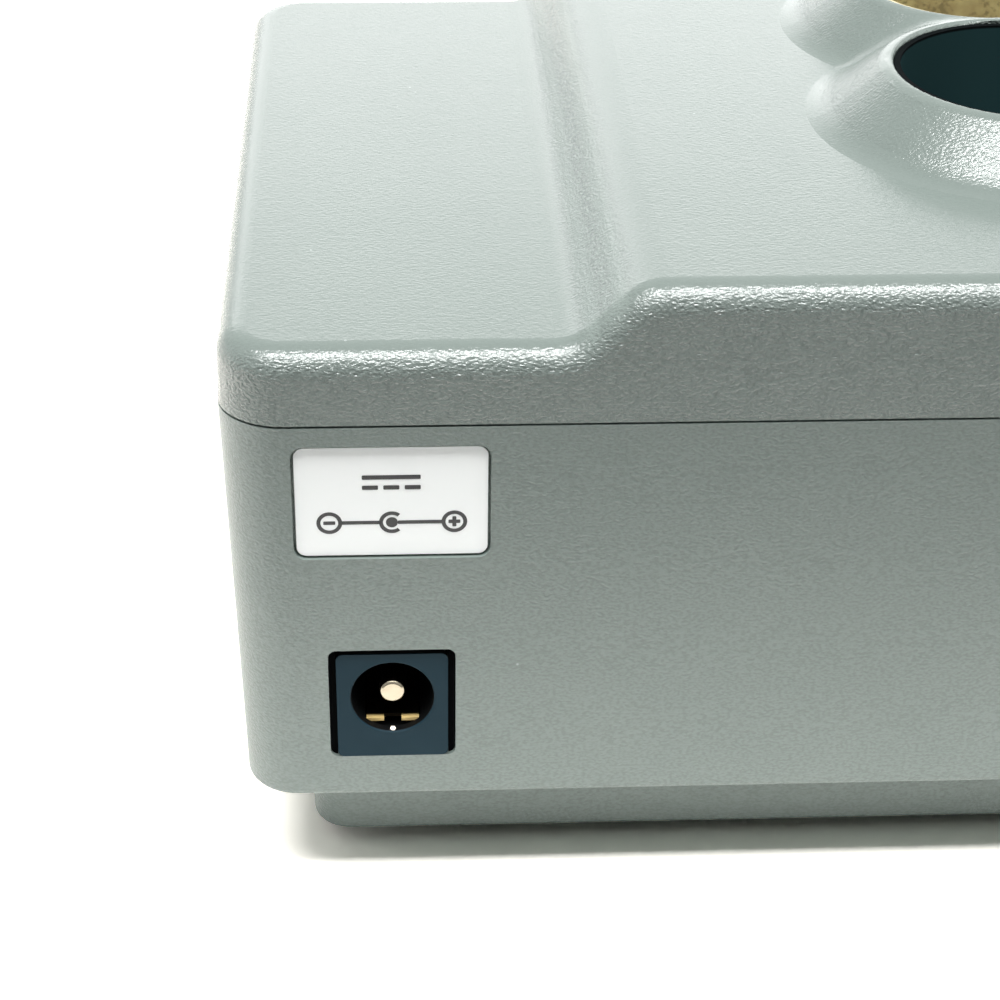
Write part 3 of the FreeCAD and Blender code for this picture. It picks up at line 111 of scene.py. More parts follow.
class NodeBench:
    """Lays out one material's nodes and keeps the wiring short."""

    BANDS_PER_UNIT = 3.18
    WALL_RISE, TOP_RISE = 0.15, 0.95
    MIX_LOW, MIX_HIGH, MIX_RESULT = 6, 7, 2

    def __init__(self, name: str) -> None:
        """Start a material with one shader wired to its output.

        Args:
            name: The material's name.
        """
        self.material = bpy.data.materials.new(name)
        self.material.use_nodes = True
        self.nodes = self.material.node_tree.nodes
        self.nodes.clear()
        self.out = self.nodes.new("ShaderNodeOutputMaterial")
        self.shader = self.nodes.new("ShaderNodeBsdfPrincipled")
        self.join(self.shader.outputs["BSDF"], self.out.inputs["Surface"])
        self.place = self.nodes.new("ShaderNodeTexCoord").outputs["Object"]

    def join(self, source: Socket, target: Socket) -> None:
        """Link one socket to another."""
        self.material.node_tree.links.new(source, target)

    def fix(self, **values: float) -> None:
        """Set sockets of the shader that are the same all over the surface.

        Args:
            **values: Socket names with underscores for spaces, and their values.
        """
        for name, value in values.items():
            self.shader.inputs[name.replace("_", " ")].default_value = value

    def stretched(self, lay: Lay) -> Socket:
        """Give the coordinates, drawn out along one axis where the lay asks for it.

        Args:
            lay: Direction in which a pattern is drawn out.

        Returns:
            The coordinates.
        """
        if lay is Lay.EVEN:
            return self.place
        mapping = self.nodes.new("ShaderNodeMapping")
        mapping.inputs["Scale"].default_value = lay.value
        self.join(self.place, mapping.inputs["Vector"])
        return mapping.outputs["Vector"]

    def noise(
        self, size_mm: float, detail: float = 2.0, rough: float = 0.5, lay: Lay = Lay.EVEN
    ) -> Socket:
        """Add a soft random pattern.

        Args:
            size_mm: Size of its blotches.
            detail: Number of finer layers.
            rough: Weight of the finer layers.
            lay: Direction in which it is drawn out.

        Returns:
            The pattern, from 0 to 1.
        """
        node = self.nodes.new("ShaderNodeTexNoise")
        node.inputs["Scale"].default_value = 1.0 / (size_mm * MM)
        node.inputs["Detail"].default_value = detail
        node.inputs["Roughness"].default_value = rough
        self.join(self.stretched(lay), node.inputs["Vector"])
        return node.outputs["Fac"]

    def cells(self, size_mm: float) -> Socket:
        """Add a pattern of rounded cells.

        Args:
            size_mm: Distance between cells.

        Returns:
            The distance to the nearest cell's middle.
        """
        node = self.nodes.new("ShaderNodeTexVoronoi")
        node.inputs["Scale"].default_value = 1.0 / (size_mm * MM)
        self.join(self.place, node.inputs["Vector"])
        return node.outputs["Distance"]

    def bands(self, size_mm: float, axis: str, warp: float = 0.0) -> Socket:
        """Add parallel bands.

        Args:
            size_mm: Width of one light and one dark band together.
            axis: X, Y or Z, across the bands.
            warp: How much they waver.

        Returns:
            The bands, from 0 to 1.
        """
        node = self.nodes.new("ShaderNodeTexWave")
        node.bands_direction = axis
        node.inputs["Scale"].default_value = 1.0 / (size_mm * MM * self.BANDS_PER_UNIT)
        node.inputs["Distortion"].default_value = warp
        self.join(self.place, node.inputs["Vector"])
        return node.outputs["Fac"]

    def ramp(self, source: Socket, stops: Sequence[Pair]) -> Socket:
        """Bend a pattern through grey stops.

        Args:
            source: The pattern.
            stops: Pairs of place and level, both from 0 to 1.

        Returns:
            The bent pattern.
        """
        node = self.nodes.new("ShaderNodeValToRGB")
        points = node.color_ramp.elements
        while len(points) < len(stops):
            points.new(0.5)
        for point, (at, level) in zip(points, stops):
            point.position = at
            point.color = (level, level, level, 1.0)
        self.join(source, node.inputs["Fac"])
        return node.outputs["Color"]

    def maths(self, way: str, one: Socket, two: Socket | float) -> Socket:
        """Work on two patterns, or on a pattern and a number.

        Args:
            way: The operation, such as ADD.
            one: The first pattern.
            two: The second pattern, or a number.

        Returns:
            The result.
        """
        node = self.nodes.new("ShaderNodeMath")
        node.operation = way
        self.join(one, node.inputs[0])
        if isinstance(two, float):
            node.inputs[1].default_value = two
        else:
            self.join(two, node.inputs[1])
        return node.outputs[0]

    def tint(self, factor: Socket, low: RGB | Socket, high: RGB | Socket) -> Socket:
        """Run from one colour to another.

        Args:
            factor: Where between the two, from 0 to 1.
            low: Colour at 0.
            high: Colour at 1.

        Returns:
            The mixed colour.
        """
        node = self.nodes.new("ShaderNodeMix")
        node.data_type = "RGBA"
        self.join(factor, node.inputs[0])
        for slot, colour in ((self.MIX_LOW, low), (self.MIX_HIGH, high)):
            if isinstance(colour, tuple):
                node.inputs[slot].default_value = linear(colour)
            else:
                self.join(colour, node.inputs[slot])
        return node.outputs[self.MIX_RESULT]

    def spread(self, source: Socket, low: float, high: float) -> Socket:
        """Fit a pattern between two levels.

        Args:
            source: A pattern from 0 to 1.
            low: Level at 0.
            high: Level at 1.

        Returns:
            The fitted pattern.
        """
        return self.remap(source, (0.0, 1.0), (low, high))

    def remap(self, source: Socket, given: Pair, wanted: Pair, way: str = "LINEAR") -> Socket:
        """Carry a pattern from one range to another.

        Args:
            source: The pattern.
            given: Two levels of the source.
            wanted: The levels that they become.
            way: How it runs between them, such as SMOOTHSTEP.

        Returns:
            The carried pattern.
        """
        node = self.nodes.new("ShaderNodeMapRange")
        node.interpolation_type = way
        ends = ("From Min", "From Max", "To Min", "To Max")
        for name, level in zip(ends, (*given, *wanted)):
            node.inputs[name].default_value = level
        self.join(source, node.inputs["Value"])
        return node.outputs["Result"]

    def upright(self, share: float) -> Socket:
        """Tell walls from tops by the way the surface faces.

        Args:
            share: Level on upright walls, against 1 on level tops.

        Returns:
            The level.
        """
        facing = self.nodes.new("ShaderNodeTexCoord")
        split = self.nodes.new("ShaderNodeSeparateXYZ")
        self.join(facing.outputs["Normal"], split.inputs["Vector"])
        return self.remap(split.outputs["Z"], (self.WALL_RISE, self.TOP_RISE), (share, 1.0))

    def along(self, axis: str) -> Socket:
        """Give one coordinate of the surface.

        Args:
            axis: X, Y or Z.

        Returns:
            The coordinate in metres.
        """
        split = self.nodes.new("ShaderNodeSeparateXYZ")
        self.join(self.place, split.inputs["Vector"])
        return split.outputs[axis]

    def window(self, source: Socket, full: float, none: float) -> Socket:
        """Fade a pattern from one level of its source to another.

        Args:
            source: The pattern.
            full: Level of the source that gives 1.
            none: Level of the source that gives 0.

        Returns:
            The faded pattern, from 0 to 1.
        """
        return self.remap(source, (full, none), (1.0, 0.0), "SMOOTHSTEP")

    def bump(self, height: Socket, depth_um: float) -> Socket:
        """Raise a pattern on the surface.

        Args:
            height: The pattern.
            depth_um: Its height in thousandths of a millimetre.

        Returns:
            The bumped normal.
        """
        node = self.nodes.new("ShaderNodeBump")
        node.inputs["Strength"].default_value = 1.0
        node.inputs["Distance"].default_value = depth_um * MM * MM
        self.join(height, node.inputs["Height"])
        return node.outputs["Normal"]

    def wear(self, colour: Socket, rough: Socket, normal: Socket | None = None) -> None:
        """Wire the finished patterns to the shader.

        Args:
            colour: Pattern for the base colour.
            rough: Pattern for the roughness.
            normal: The bumped normal, where the surface has one.
        """
        self.join(colour, self.shader.inputs["Base Color"])
        self.join(rough, self.shader.inputs["Roughness"])
        if normal is not None:
            self.join(normal, self.shader.inputs["Normal"])


@dataclass(frozen=True)
class Finish:
    """A surface finish, made once as a material and shared by all that wear it."""

    name: str
    colour: RGB
    drift: RGB

    def material(self) -> bpy.types.Material:
        """Give the finish's material, and make it at the first call.

        Returns:
            The material.
        """
        known = bpy.data.materials.get("finish_" + self.name)
        if known is not None:
            return known
        bench = NodeBench("finish_" + self.name)
        self.lay(bench)
        return bench.material

    def lay(self, bench: NodeBench) -> None:
        """Wire the finish's patterns. Each kind of finish has its own.

        Args:
            bench: The material's bench.
        """
        raise NotImplementedError


@dataclass(frozen=True)
class SparkPlastic(Finish):
    """Moulded housing plastic with a spark-eroded grain, some drift of colour and dust."""

    grain_mm: float = 0.20
    grain_um: float = 24.0
    fine_share: float = 0.22
    wall_share: float = 6.0
    rough: Pair = (0.15, 0.22)
    # Painted shade in the grain's hollows: its colour, its share on tops and its share on upright
    # walls.
    pit: RGB = (72, 80, 76)
    pit_share: float = 0.06
    pit_wall_share: float = 4.6
    dust: RGB = (186, 193, 190)
    dust_share: float = 0.4
    # Where the steps of the top lie across X, the painted light on them, the painted shade line,
    # and their share.
    crease: float = 0.0
    rub: RGB = (144, 156, 150)
    dirt: RGB = (70, 78, 75)
    soil_share: float = 0.5

    def lay(self, bench: NodeBench) -> None:
        """Grain in two sizes, deeper on walls, slow colour, painted shade in hollows and pale
        dust.

        Args:
            bench: The material's bench.
        """
        grain = bench.noise(self.grain_mm, 1.0, 0.4, Lay.SPARK)
        fine = bench.noise(self.grain_mm * 0.5, 1.0, 0.5)
        slow = bench.noise(16.0, 3.0, 0.55)
        hollow = bench.ramp(grain, ((0.34, 0.0), (0.62, 1.0)))
        body = bench.tint(slow, self.colour, self.drift)
        # Painted shade: the grain's hollows are darkened, more on upright walls.
        faint = bench.spread(hollow, self.pit_share, 0.0)
        hollow_shade = bench.maths("MULTIPLY", faint, bench.upright(self.pit_wall_share))
        # Painted light and painted shade on the steps of the top.
        shaded = self.soiled(bench, bench.tint(hollow_shade, body, self.pit))
        dust = bench.ramp(bench.cells(3.1), ((0.028, 1.0), (0.045, 0.0)))
        sparse = bench.ramp(bench.noise(9.0, 2.0), ((0.56, 0.0), (0.64, 1.0)))
        specks = bench.maths("MULTIPLY", dust, sparse)
        colour = bench.tint(bench.spread(specks, 0.0, self.dust_share), shaded, self.dust)
        relief = bench.maths("ADD", grain, bench.maths("MULTIPLY", fine, self.fine_share))
        height = bench.maths("MULTIPLY", relief, bench.upright(self.wall_share))
        rough = bench.spread(bench.noise(2.2, 2.0), *self.rough)
        bench.wear(colour, rough, bench.bump(height, self.grain_um))
        bench.fix(IOR=1.46)

    def soiled(self, bench: NodeBench, clean: Socket) -> Socket:
        """Give the top's two steps painted light, and a broken line of painted shade half way up
        them.

        Args:
            bench: The material's bench.
            clean: Colour of the clean plastic.

        Returns:
            The colour, as it was where the finish has no crease.
        """
        if self.crease == 0.0:
            return clean
        across = bench.maths("ABSOLUTE", bench.along("X"), 0.0)
        off = bench.maths("ABSOLUTE", bench.maths("SUBTRACT", across, self.crease), 0.0)
        top = bench.upright(0.0)
        # Painted light: the steps of the top are made paler.
        rub = bench.maths("MULTIPLY", bench.window(off, 0.9 * MM, 1.9 * MM), top)
        with_step_light = bench.tint(bench.maths("MULTIPLY", rub, self.soil_share), clean, self.rub)
        patchy = bench.ramp(bench.noise(0.5, 3.0, 0.6), ((0.36, 0.0), (0.60, 1.0)))
        # Painted shade: a broken dark line half way up the steps.
        line = bench.maths("MULTIPLY", bench.window(off, 0.1 * MM, 1.0 * MM), top)
        dirt = bench.maths("MULTIPLY", bench.maths("MULTIPLY", line, patchy), self.soil_share)
        return bench.tint(dirt, with_step_light, self.dirt)


@dataclass(frozen=True)
class SmoothPlastic(Finish):
    """Plain moulded plastic: faint flow marks, fine rub marks and a soft gloss."""

    rough: Pair = (0.26, 0.42)
    grain_um: float = 3.0
    grain_mm: float = 0.25
    gloss: float = 0.5

    def lay(self, bench: NodeBench) -> None:
        """Slow colour, cloudy gloss and a faint skin.

        Args:
            bench: The material's bench.
        """
        colour = bench.tint(bench.noise(3.0, 3.0, 0.6), self.colour, self.drift)
        rough = bench.spread(bench.noise(1.4, 3.0, 0.6), *self.rough)
        skin = bench.noise(self.grain_mm, 2.0, 0.6)
        bench.wear(colour, rough, bench.bump(skin, self.grain_um))
        bench.fix(IOR=1.5, Specular_IOR_Level=self.gloss)


@dataclass(frozen=True)
class DeepFinish(Finish):
    """Finish whose colour changes a little way behind one outer face: painted light and shade."""

    face: str = ""
    axis: str = "Y"
    depth: float = 0.07 * MM
    # Colour behind the outer face: painted shade in the inlet's bore and behind the leaf's end,
    # painted light in the socket's well.
    pit: RGB = (6, 7, 8)
    rough: Pair = (0.48, 0.6)
    gloss: float = 0.2
    metallic: float = 0.0

    def lay(self, bench: NodeBench) -> None:
        """Face colour on the outermost skin, the painted inner tone behind it.

        Args:
            bench: The material's bench.
        """
        skin = bench.noise(0.3, 2.0, 0.6)
        outer = getattr(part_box(self.face)[1], self.axis.lower())
        near = bench.window(bench.along(self.axis), outer - self.depth, outer - 2.0 * self.depth)
        body = bench.tint(bench.noise(3.0, 3.0, 0.6), self.colour, self.drift)
        # Painted light and shade: the inner tone takes over a little way behind the outer face.
        colour = bench.tint(near, self.pit, body)
        bench.wear(colour, bench.spread(skin, *self.rough), bench.bump(skin, 5.0))
        bench.fix(Specular_IOR_Level=self.gloss, Metallic=self.metallic)


@dataclass(frozen=True)
class Metal(Finish):
    """Plated or drawn metal with tool marks along one way."""

    rough: Pair = (0.16, 0.34)
    lay_way: Lay = Lay.EVEN
    mark_um: float = 2.0
    metallic: float = 1.0

    def lay(self, bench: NodeBench) -> None:
        """Tool marks, tarnish in blotches and broken gloss.

        Args:
            bench: The material's bench.
        """
        marks = bench.noise(0.12, 2.0, 0.6, self.lay_way)
        tarnish = bench.noise(1.1, 3.0, 0.6)
        colour = bench.tint(tarnish, self.colour, self.drift)
        rough = bench.spread(bench.maths("MULTIPLY", marks, tarnish), *self.rough)
        bench.wear(colour, rough, bench.bump(marks, self.mark_um))
        bench.fix(Metallic=self.metallic)


@dataclass(frozen=True)
class Phenolic(Finish):
    """Cloth-filled resin: brown and straw mottle with darker threads."""

    thread: RGB = (88, 78, 50)

    def lay(self, bench: NodeBench) -> None:
        """Mottle in two sizes, with short dark flecks of the filler.

        Args:
            bench: The material's bench.
        """
        coarse = bench.ramp(bench.noise(3.4, 3.0, 0.55), ((0.38, 0.0), (0.62, 1.0)))
        fleck = bench.ramp(bench.noise(0.9, 2.0, 0.6), ((0.34, 1.0), (0.46, 0.0)))
        body = bench.tint(coarse, self.colour, self.drift)
        colour = bench.tint(bench.spread(fleck, 0.0, 0.6), body, self.thread)
        rough = bench.spread(coarse, 0.42, 0.6)
        bench.wear(colour, rough, bench.bump(fleck, 6.0))
        bench.fix(IOR=1.55)


@dataclass(frozen=True)
class Rubber(Finish):
    """Dull rubber with a dusty bloom."""

    def lay(self, bench: NodeBench) -> None:
        """Bloom in blotches over a fine open grain.

        Args:
            bench: The material's bench.
        """
        bloom = bench.noise(2.4, 4.0, 0.65)
        grain = bench.noise(0.14, 2.0, 0.6)
        colour = bench.tint(bench.ramp(bloom, ((0.45, 0.0), (0.75, 1.0))), self.colour, self.drift)
        bench.wear(colour, bench.spread(bloom, 0.68, 0.9), bench.bump(grain, 9.0))
        bench.fix(Specular_IOR_Level=0.35)


@dataclass(frozen=True)
class Film(Finish):
    """Printed film or paint: nearly even, with a faint orange-peel and handling marks."""

    rough: Pair = (0.3, 0.42)

    def lay(self, bench: NodeBench) -> None:
        """Slight drift, orange-peel and cloudy gloss.

        Args:
            bench: The material's bench.
        """
        cloud = bench.noise(2.6, 3.0, 0.55)
        peel = bench.noise(0.4, 1.0, 0.5)
        colour = bench.tint(cloud, self.colour, self.drift)
        bench.wear(colour, bench.spread(cloud, *self.rough), bench.bump(peel, 2.5))


@dataclass(frozen=True)
class BoardMask(Finish):
    """Circuit board: coated copper tracks that show through the coat."""

    def lay(self, bench: NodeBench) -> None:
        """Tracks from two crossed sets of broken bands under a glossy coat.

        Args:
            bench: The material's bench.
        """
        along = bench.ramp(bench.bands(2.6, "X", 1.6), ((0.60, 0.0), (0.66, 1.0)))
        across = bench.ramp(bench.bands(3.4, "Y", 1.2), ((0.68, 0.0), (0.74, 1.0)))
        patch = bench.ramp(bench.noise(7.0, 1.0), ((0.47, 0.0), (0.5, 1.0)))
        tracks = bench.maths(
            "MAXIMUM", bench.maths("MULTIPLY", along, patch),
            bench.maths("SUBTRACT", across, patch),
        )
        colour = bench.tint(tracks, self.colour, self.drift)
        rough = bench.spread(bench.noise(0.9, 2.0), 0.22, 0.36)
        bench.wear(colour, rough, bench.bump(tracks, 30.0))


@dataclass(frozen=True)
class Lens(Finish):
    """Tinted clear plastic of a lamp."""

    def lay(self, bench: NodeBench) -> None:
        """Tint with a cloudy core and a polished skin.

        Args:
            bench: The material's bench.
        """
        colour = bench.tint(bench.noise(1.2, 2.0), self.colour, self.drift)
        rough = bench.spread(bench.noise(0.8, 2.0), 0.08, 0.18)
        bench.wear(colour, rough, bench.bump(bench.noise(0.5), 2.0))
        bench.fix(Transmission_Weight=0.45, IOR=1.5)


@dataclass(frozen=True)
class Wound(Finish):
    """Close turns of wire, or the cores of a flat cable, as bands across one axis."""

    pitch_mm: float = 0.4
    axis: str = "Z"
    metallic: float = 0.0
    depth_um: float = 90.0

    def lay(self, bench: NodeBench) -> None:
        """Bands for the turns, with painted shade in the grooves.

        Args:
            bench: The material's bench.
        """
        turns = bench.bands(self.pitch_mm, self.axis, 0.15)
        # Painted shade: the drift colour darkens the grooves between the turns.
        colour = bench.tint(turns, self.drift, self.colour)
        rough = bench.spread(bench.noise(0.7, 2.0), 0.28, 0.46)
        bench.wear(colour, rough, bench.bump(turns, self.depth_um))
        bench.fix(Metallic=self.metallic)


# The upper shell's grey is a little darker than the lower's: painted shade. Its crease adds the
# painted step light and shade.
UPPER_GREY = SparkPlastic(
    "upper_grey", (109, 120, 115), (116, 126, 121), wall_share=7.5, crease=37.3 * MM
)
LOWER_GREY = SparkPlastic(
    "lower_grey", (113, 125, 120), (120, 131, 126), wall_share=4.0, rough=(0.34, 0.44)
)
# The inlet is painted near black a little way behind its face: painted shade in the bore and on
# the body's sides.
INLET_BLACK = DeepFinish("inlet_black", (17, 40, 49), (22, 45, 55), face="dc_jack_body", gloss=0.1)
# The black socket is painted a lighter teal below its top edge: painted light inside the well.
SOCKET_BLACK = DeepFinish(
    "socket_black", (9, 12, 13), (13, 17, 18), face="noval_socket", axis="Z", depth=0.15 * MM,
    pit=(38, 63, 65), rough=(0.8, 0.92), gloss=0.02,
)
CONTROL_BLACK = SmoothPlastic("control_black", (27, 28, 30), (38, 39, 41))
KNOB_BLACK = SmoothPlastic(
    "knob_black", (24, 25, 27), (36, 37, 39), rough=(0.34, 0.5), grain_um=8.0
)
ROCKER_BLACK = SmoothPlastic("rocker_black", (20, 21, 22), (30, 31, 33), rough=(0.2, 0.34))
BUTTON_RED = SmoothPlastic("button_red", (168, 32, 26), (186, 44, 34), rough=(0.18, 0.3))
SOCKET_TAN = Phenolic("socket_tan", (186, 176, 128), (150, 136, 94))
FOOT_RUBBER = Rubber("foot_rubber", (34, 33, 31), (66, 63, 58))
LABEL_WHITE = Film("label_white", (250, 252, 251), (245, 249, 247))
MARK_WHITE = Film("mark_white", (232, 234, 230), (218, 220, 215))
PRINT_BLACK = Film("print_black", (30, 31, 32), (48, 49, 50))
# Near black and dull, for the piece that stands in for the shade in the inlet's slit: painted
# shade.
SLIT_SHADE_BLACK = SmoothPlastic("slit_shade_black", (4, 5, 6), (8, 9, 10), rough=(0.8, 0.92), gloss=0.02)
PIN_SILVER = Metal("pin_silver", (212, 208, 200), (186, 180, 168))
NUT_NICKEL = Metal("nut_nickel", (160, 157, 150), (122, 119, 112))
PIN_TIN = Metal("pin_tin", (154, 147, 131), (128, 121, 106))
CLIP_GOLD = Metal("clip_gold", (250, 216, 140), (226, 176, 88), lay_way=Lay.ALONG_Y, metallic=0.45)
# The leaf is painted dark behind its end face: painted shade inside the bore.
LEAF_GOLD = DeepFinish(
    "leaf_gold", (255, 232, 168), (246, 206, 122), face="dc_jack_leaf", depth=0.42 * MM,
    pit=(16, 11, 5), rough=(0.26, 0.4), gloss=0.5, metallic=0.12,
)
SCREW_STEEL = Metal("screw_steel", (176, 178, 180), (140, 142, 145))
SHAFT_ALLOY = Metal("shaft_alloy", (190, 192, 194), (168, 170, 172), lay_way=Lay.ALONG_Y)
BOARD_GREEN = BoardMask("board_green", (22, 82, 50), (46, 122, 74))
CHIP_BLACK = SmoothPlastic(
    "chip_black", (30, 30, 32), (40, 40, 42), rough=(0.5, 0.66), grain_um=7.0
)
CORE_FERRITE = SmoothPlastic(
    "core_ferrite", (44, 43, 44), (62, 60, 60), rough=(0.6, 0.8), grain_um=14.0
)
COIL_COPPER = Wound("coil_copper", (206, 122, 66), (110, 56, 26), 0.36, "Z", 1.0)
CAN_BLUE = Film("can_blue", (34, 52, 92), (44, 64, 108))
CABLE_GREY = Wound("cable_grey", (176, 178, 178), (128, 130, 131), 1.0, "X")
LENS_GREEN = Lens("lens_green", (64, 158, 74), (44, 128, 56))
LENS_AMBER = Lens("lens_amber", (226, 152, 40), (200, 124, 24))
LENS_RED = Lens("lens_red", (196, 38, 30), (166, 26, 22))


class Hand:
    """Modelling moves on one new mesh, done with Blender's own operators."""

    CORNER_SHARE, CORNER_STEPS = 0.2, 3
    DISC_SIDES = 36
    RING_STEPS, LEAST_STEPS = 48, 8
    TYPE_STEPS = 4
    WIRE_SIDES, TURN_STEPS = 12, 28
    SMOOTH_ANGLE = math.radians(40.0)

    def __init__(self, name: str) -> None:
        """Start with nothing selected.

        Args:
            name: Name of the piece in hand.
        """
        self.name = name
        self.done: list[bpy.types.Object] = []
        bpy.ops.object.select_all(action="DESELECT")

    def take(self) -> bpy.types.Object:
        """Put the newest primitive among the pieces in hand.

        Returns:
            The new object.
        """
        piece = bpy.context.object
        self.done.append(piece)
        return piece

    def open(self) -> None:
        """Open the mesh in hand, all of it selected."""
        bpy.ops.object.mode_set(mode="EDIT")
        bpy.ops.mesh.select_all(action="SELECT")

    def face_out(self) -> None:
        """Turn all faces of the open mesh outwards and close it."""
        bpy.ops.mesh.select_all(action="SELECT")
        bpy.ops.mesh.normals_make_consistent(inside=False)
        bpy.ops.object.mode_set(mode="OBJECT")

    def thicken(self, depth: float) -> None:
        """Pull the flat piece in hand up along Z.

        Args:
            depth: How far, in metres.
        """
        self.open()
        bpy.ops.mesh.extrude_region_move(TRANSFORM_OT_translate={"value": (0.0, 0.0, depth)})
        self.face_out()

    def bar(self, at: Pair, size: Pair, turn: float, depth: float) -> None:
        """Add a flat bar with softened corners, lying in the XY plane.

        Args:
            at: Its middle.
            size: Its length along X and width along Y before it is turned.
            turn: Its turn about Z, in radians.
            depth: Its thickness.
        """
        bpy.ops.object.select_all(action="DESELECT")
        bpy.ops.mesh.primitive_plane_add(size=1.0, location=(0.0, 0.0, 0.0))
        self.open()
        bpy.ops.transform.resize(value=(size[0], size[1], 1.0))
        bpy.ops.mesh.bevel(
            offset=min(size) * self.CORNER_SHARE, segments=self.CORNER_STEPS, affect="VERTICES"
        )
        bpy.ops.object.mode_set(mode="OBJECT")
        piece = self.take()
        place = Matrix.Translation((at[0], at[1], 0.0))
        piece.data.transform(place @ Matrix.Rotation(turn, 4, "Z"))
        self.thicken(depth)

    def disc(self, at: Pair, radius: float, depth: float) -> None:
        """Add a flat round dot.

        Args:
            at: Its middle.
            radius: Its radius.
            depth: Its thickness.
        """
        bpy.ops.object.select_all(action="DESELECT")
        bpy.ops.mesh.primitive_circle_add(
            vertices=self.DISC_SIDES, radius=radius, fill_type="NGON", location=(at[0], at[1], 0.0)
        )
        bpy.ops.object.transform_apply(location=True)
        self.take()
        self.thicken(depth)

    def arc(
        self,
        at: Pair,
        radius: float,
        width: float,
        depth: float,
        start: float = 0.0,
        sweep: float = math.tau,
    ) -> None:
        """Add a flat ring or part of one, spun from a short edge.

        Args:
            at: Its middle.
            radius: Radius of its middle line.
            width: Width of the line.
            depth: Its thickness.
            start: Angle where it starts.
            sweep: Angle that it covers.
        """
        bpy.ops.object.select_all(action="DESELECT")
        bpy.ops.mesh.primitive_plane_add(size=width, location=(0.0, 0.0, 0.0))
        self.open()
        bpy.ops.transform.resize(value=(1.0, 0.0, 1.0))
        bpy.ops.mesh.remove_doubles(threshold=1e-7)
        bpy.ops.mesh.delete(type="ONLY_FACE")
        bpy.ops.object.mode_set(mode="OBJECT")
        piece = self.take()
        out = Matrix.Translation((radius, 0.0, 0.0))
        piece.data.transform(Matrix.Rotation(start, 4, "Z") @ out)
        self.open()
        steps = max(self.LEAST_STEPS, int(self.RING_STEPS * sweep / math.tau))
        bpy.ops.mesh.spin(steps=steps, angle=sweep, center=(0.0, 0.0, 0.0), axis=(0.0, 0.0, 1.0))
        bpy.ops.mesh.select_all(action="SELECT")
        bpy.ops.mesh.remove_doubles(threshold=1e-6)
        bpy.ops.object.mode_set(mode="OBJECT")
        piece.data.transform(Matrix.Translation((at[0], at[1], 0.0)))
        self.thicken(depth)

    def word(self, text: str, at: Pair, size: float, depth: float) -> None:
        """Add printed figures, made a mesh.

        Args:
            text: The figures.
            at: Their middle.
            size: Height of the type.
            depth: Thickness of the ink.
        """
        bpy.ops.object.select_all(action="DESELECT")
        bpy.ops.object.text_add(location=(0.0, 0.0, 0.0))
        piece = bpy.context.object
        piece.data.body = text
        piece.data.size = size
        piece.data.align_x = "CENTER"
        piece.data.align_y = "CENTER"
        piece.data.extrude = depth / 2.0
        piece.data.resolution_u = self.TYPE_STEPS
        bpy.ops.object.convert(target="MESH")
        piece = self.take()
        piece.data.transform(Matrix.Translation((at[0], at[1], depth / 2.0)))

    def coil(self, radius: float, wire: float, length: float, turns: int) -> None:
        """Add a spring that stands on the XY plane, wound from a round wire.

        Args:
            radius: Radius of its middle line.
            wire: Radius of the wire.
            length: Its whole length along Z.
            turns: Number of turns.
        """
        bpy.ops.object.select_all(action="DESELECT")
        bpy.ops.mesh.primitive_circle_add(
            vertices=self.WIRE_SIDES, radius=wire, location=(0.0, 0.0, 0.0)
        )
        piece = self.take()
        stand = Matrix.Translation((radius, 0.0, wire)) @ Matrix.Rotation(math.pi / 2.0, 4, "X")
        piece.data.transform(stand)
        bpy.ops.object.modifier_add(type="SCREW")
        winding = piece.modifiers[-1]
        winding.screw_offset = (length - 2.0 * wire) / turns
        winding.iterations = turns
        winding.steps = self.TURN_STEPS
        winding.render_steps = self.TURN_STEPS
        bpy.ops.object.modifier_apply(modifier=winding.name)
        self.open()
        bpy.ops.mesh.fill_holes(sides=self.WIRE_SIDES)
        self.face_out()
        bpy.ops.object.shade_smooth_by_angle(angle=self.SMOOTH_ANGLE)

    def gather(self, place: Matrix, finish: Finish, body: Body) -> bpy.types.Object:
        """Join all pieces in hand, put them in place, make them ride and report the whole.

        Args:
            place: Where the local XY plane lies in the frame.
            finish: Finish of the whole.
            body: Body that carries it.

        Returns:
            The finished piece.
        """
        bpy.ops.object.select_all(action="DESELECT")
        for piece in self.done:
            piece.select_set(True)
        bpy.context.view_layer.objects.active = self.done[0]
        if len(self.done) > 1:
            bpy.ops.object.join()
        whole = bpy.context.object
        whole.name = self.name
        whole.data.name = self.name
        whole.data.transform(place)
        whole.data.materials.clear()
        whole.data.materials.append(finish.material())
        bpy.ops.object.select_all(action="DESELECT")
        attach(whole, body.value)
        LOG.info("%s made in %s", self.name, finish.name)
        return whole


def strike(node: str, start: Vector, way: Vector) -> tuple[Vector, Vector]:
    """Find where a line meets a solid of the frame.

    Args:
        node: Name of the solid.
        start: A point outside it.
        way: Direction of the line.

    Returns:
        The point struck and the surface's normal there.
    """
    hit, point, normal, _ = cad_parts[node].ray_cast(start, way)
    if not hit:
        raise ValueError(f"nothing of {node} lies on that line")
    return point, normal


def lie_on(point: Vector, normal: Vector) -> Matrix:
    """Turn the local XY plane onto a surface, with local Y as near to upright as it goes.

    Args:
        point: Where the local origin goes.
        normal: The surface's normal, which local Z takes.

    Returns:
        The placing matrix.
    """
    out = normal.normalized()
    across = UP.cross(out).normalized()
    rise = out.cross(across)
    turn = Matrix((across, rise, out)).transposed().to_4x4()
    return Matrix.Translation(point) @ turn


def dress(nodes: Iterable[str], finish: Finish) -> None:
    """Give solids of the frame a finish.

    Args:
        nodes: Their names.
        finish: The finish they wear.
    """
    for node in nodes:
        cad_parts[node].material_slots[0].material = finish.material()
        LOG.info("%s wears %s", node, finish.name)


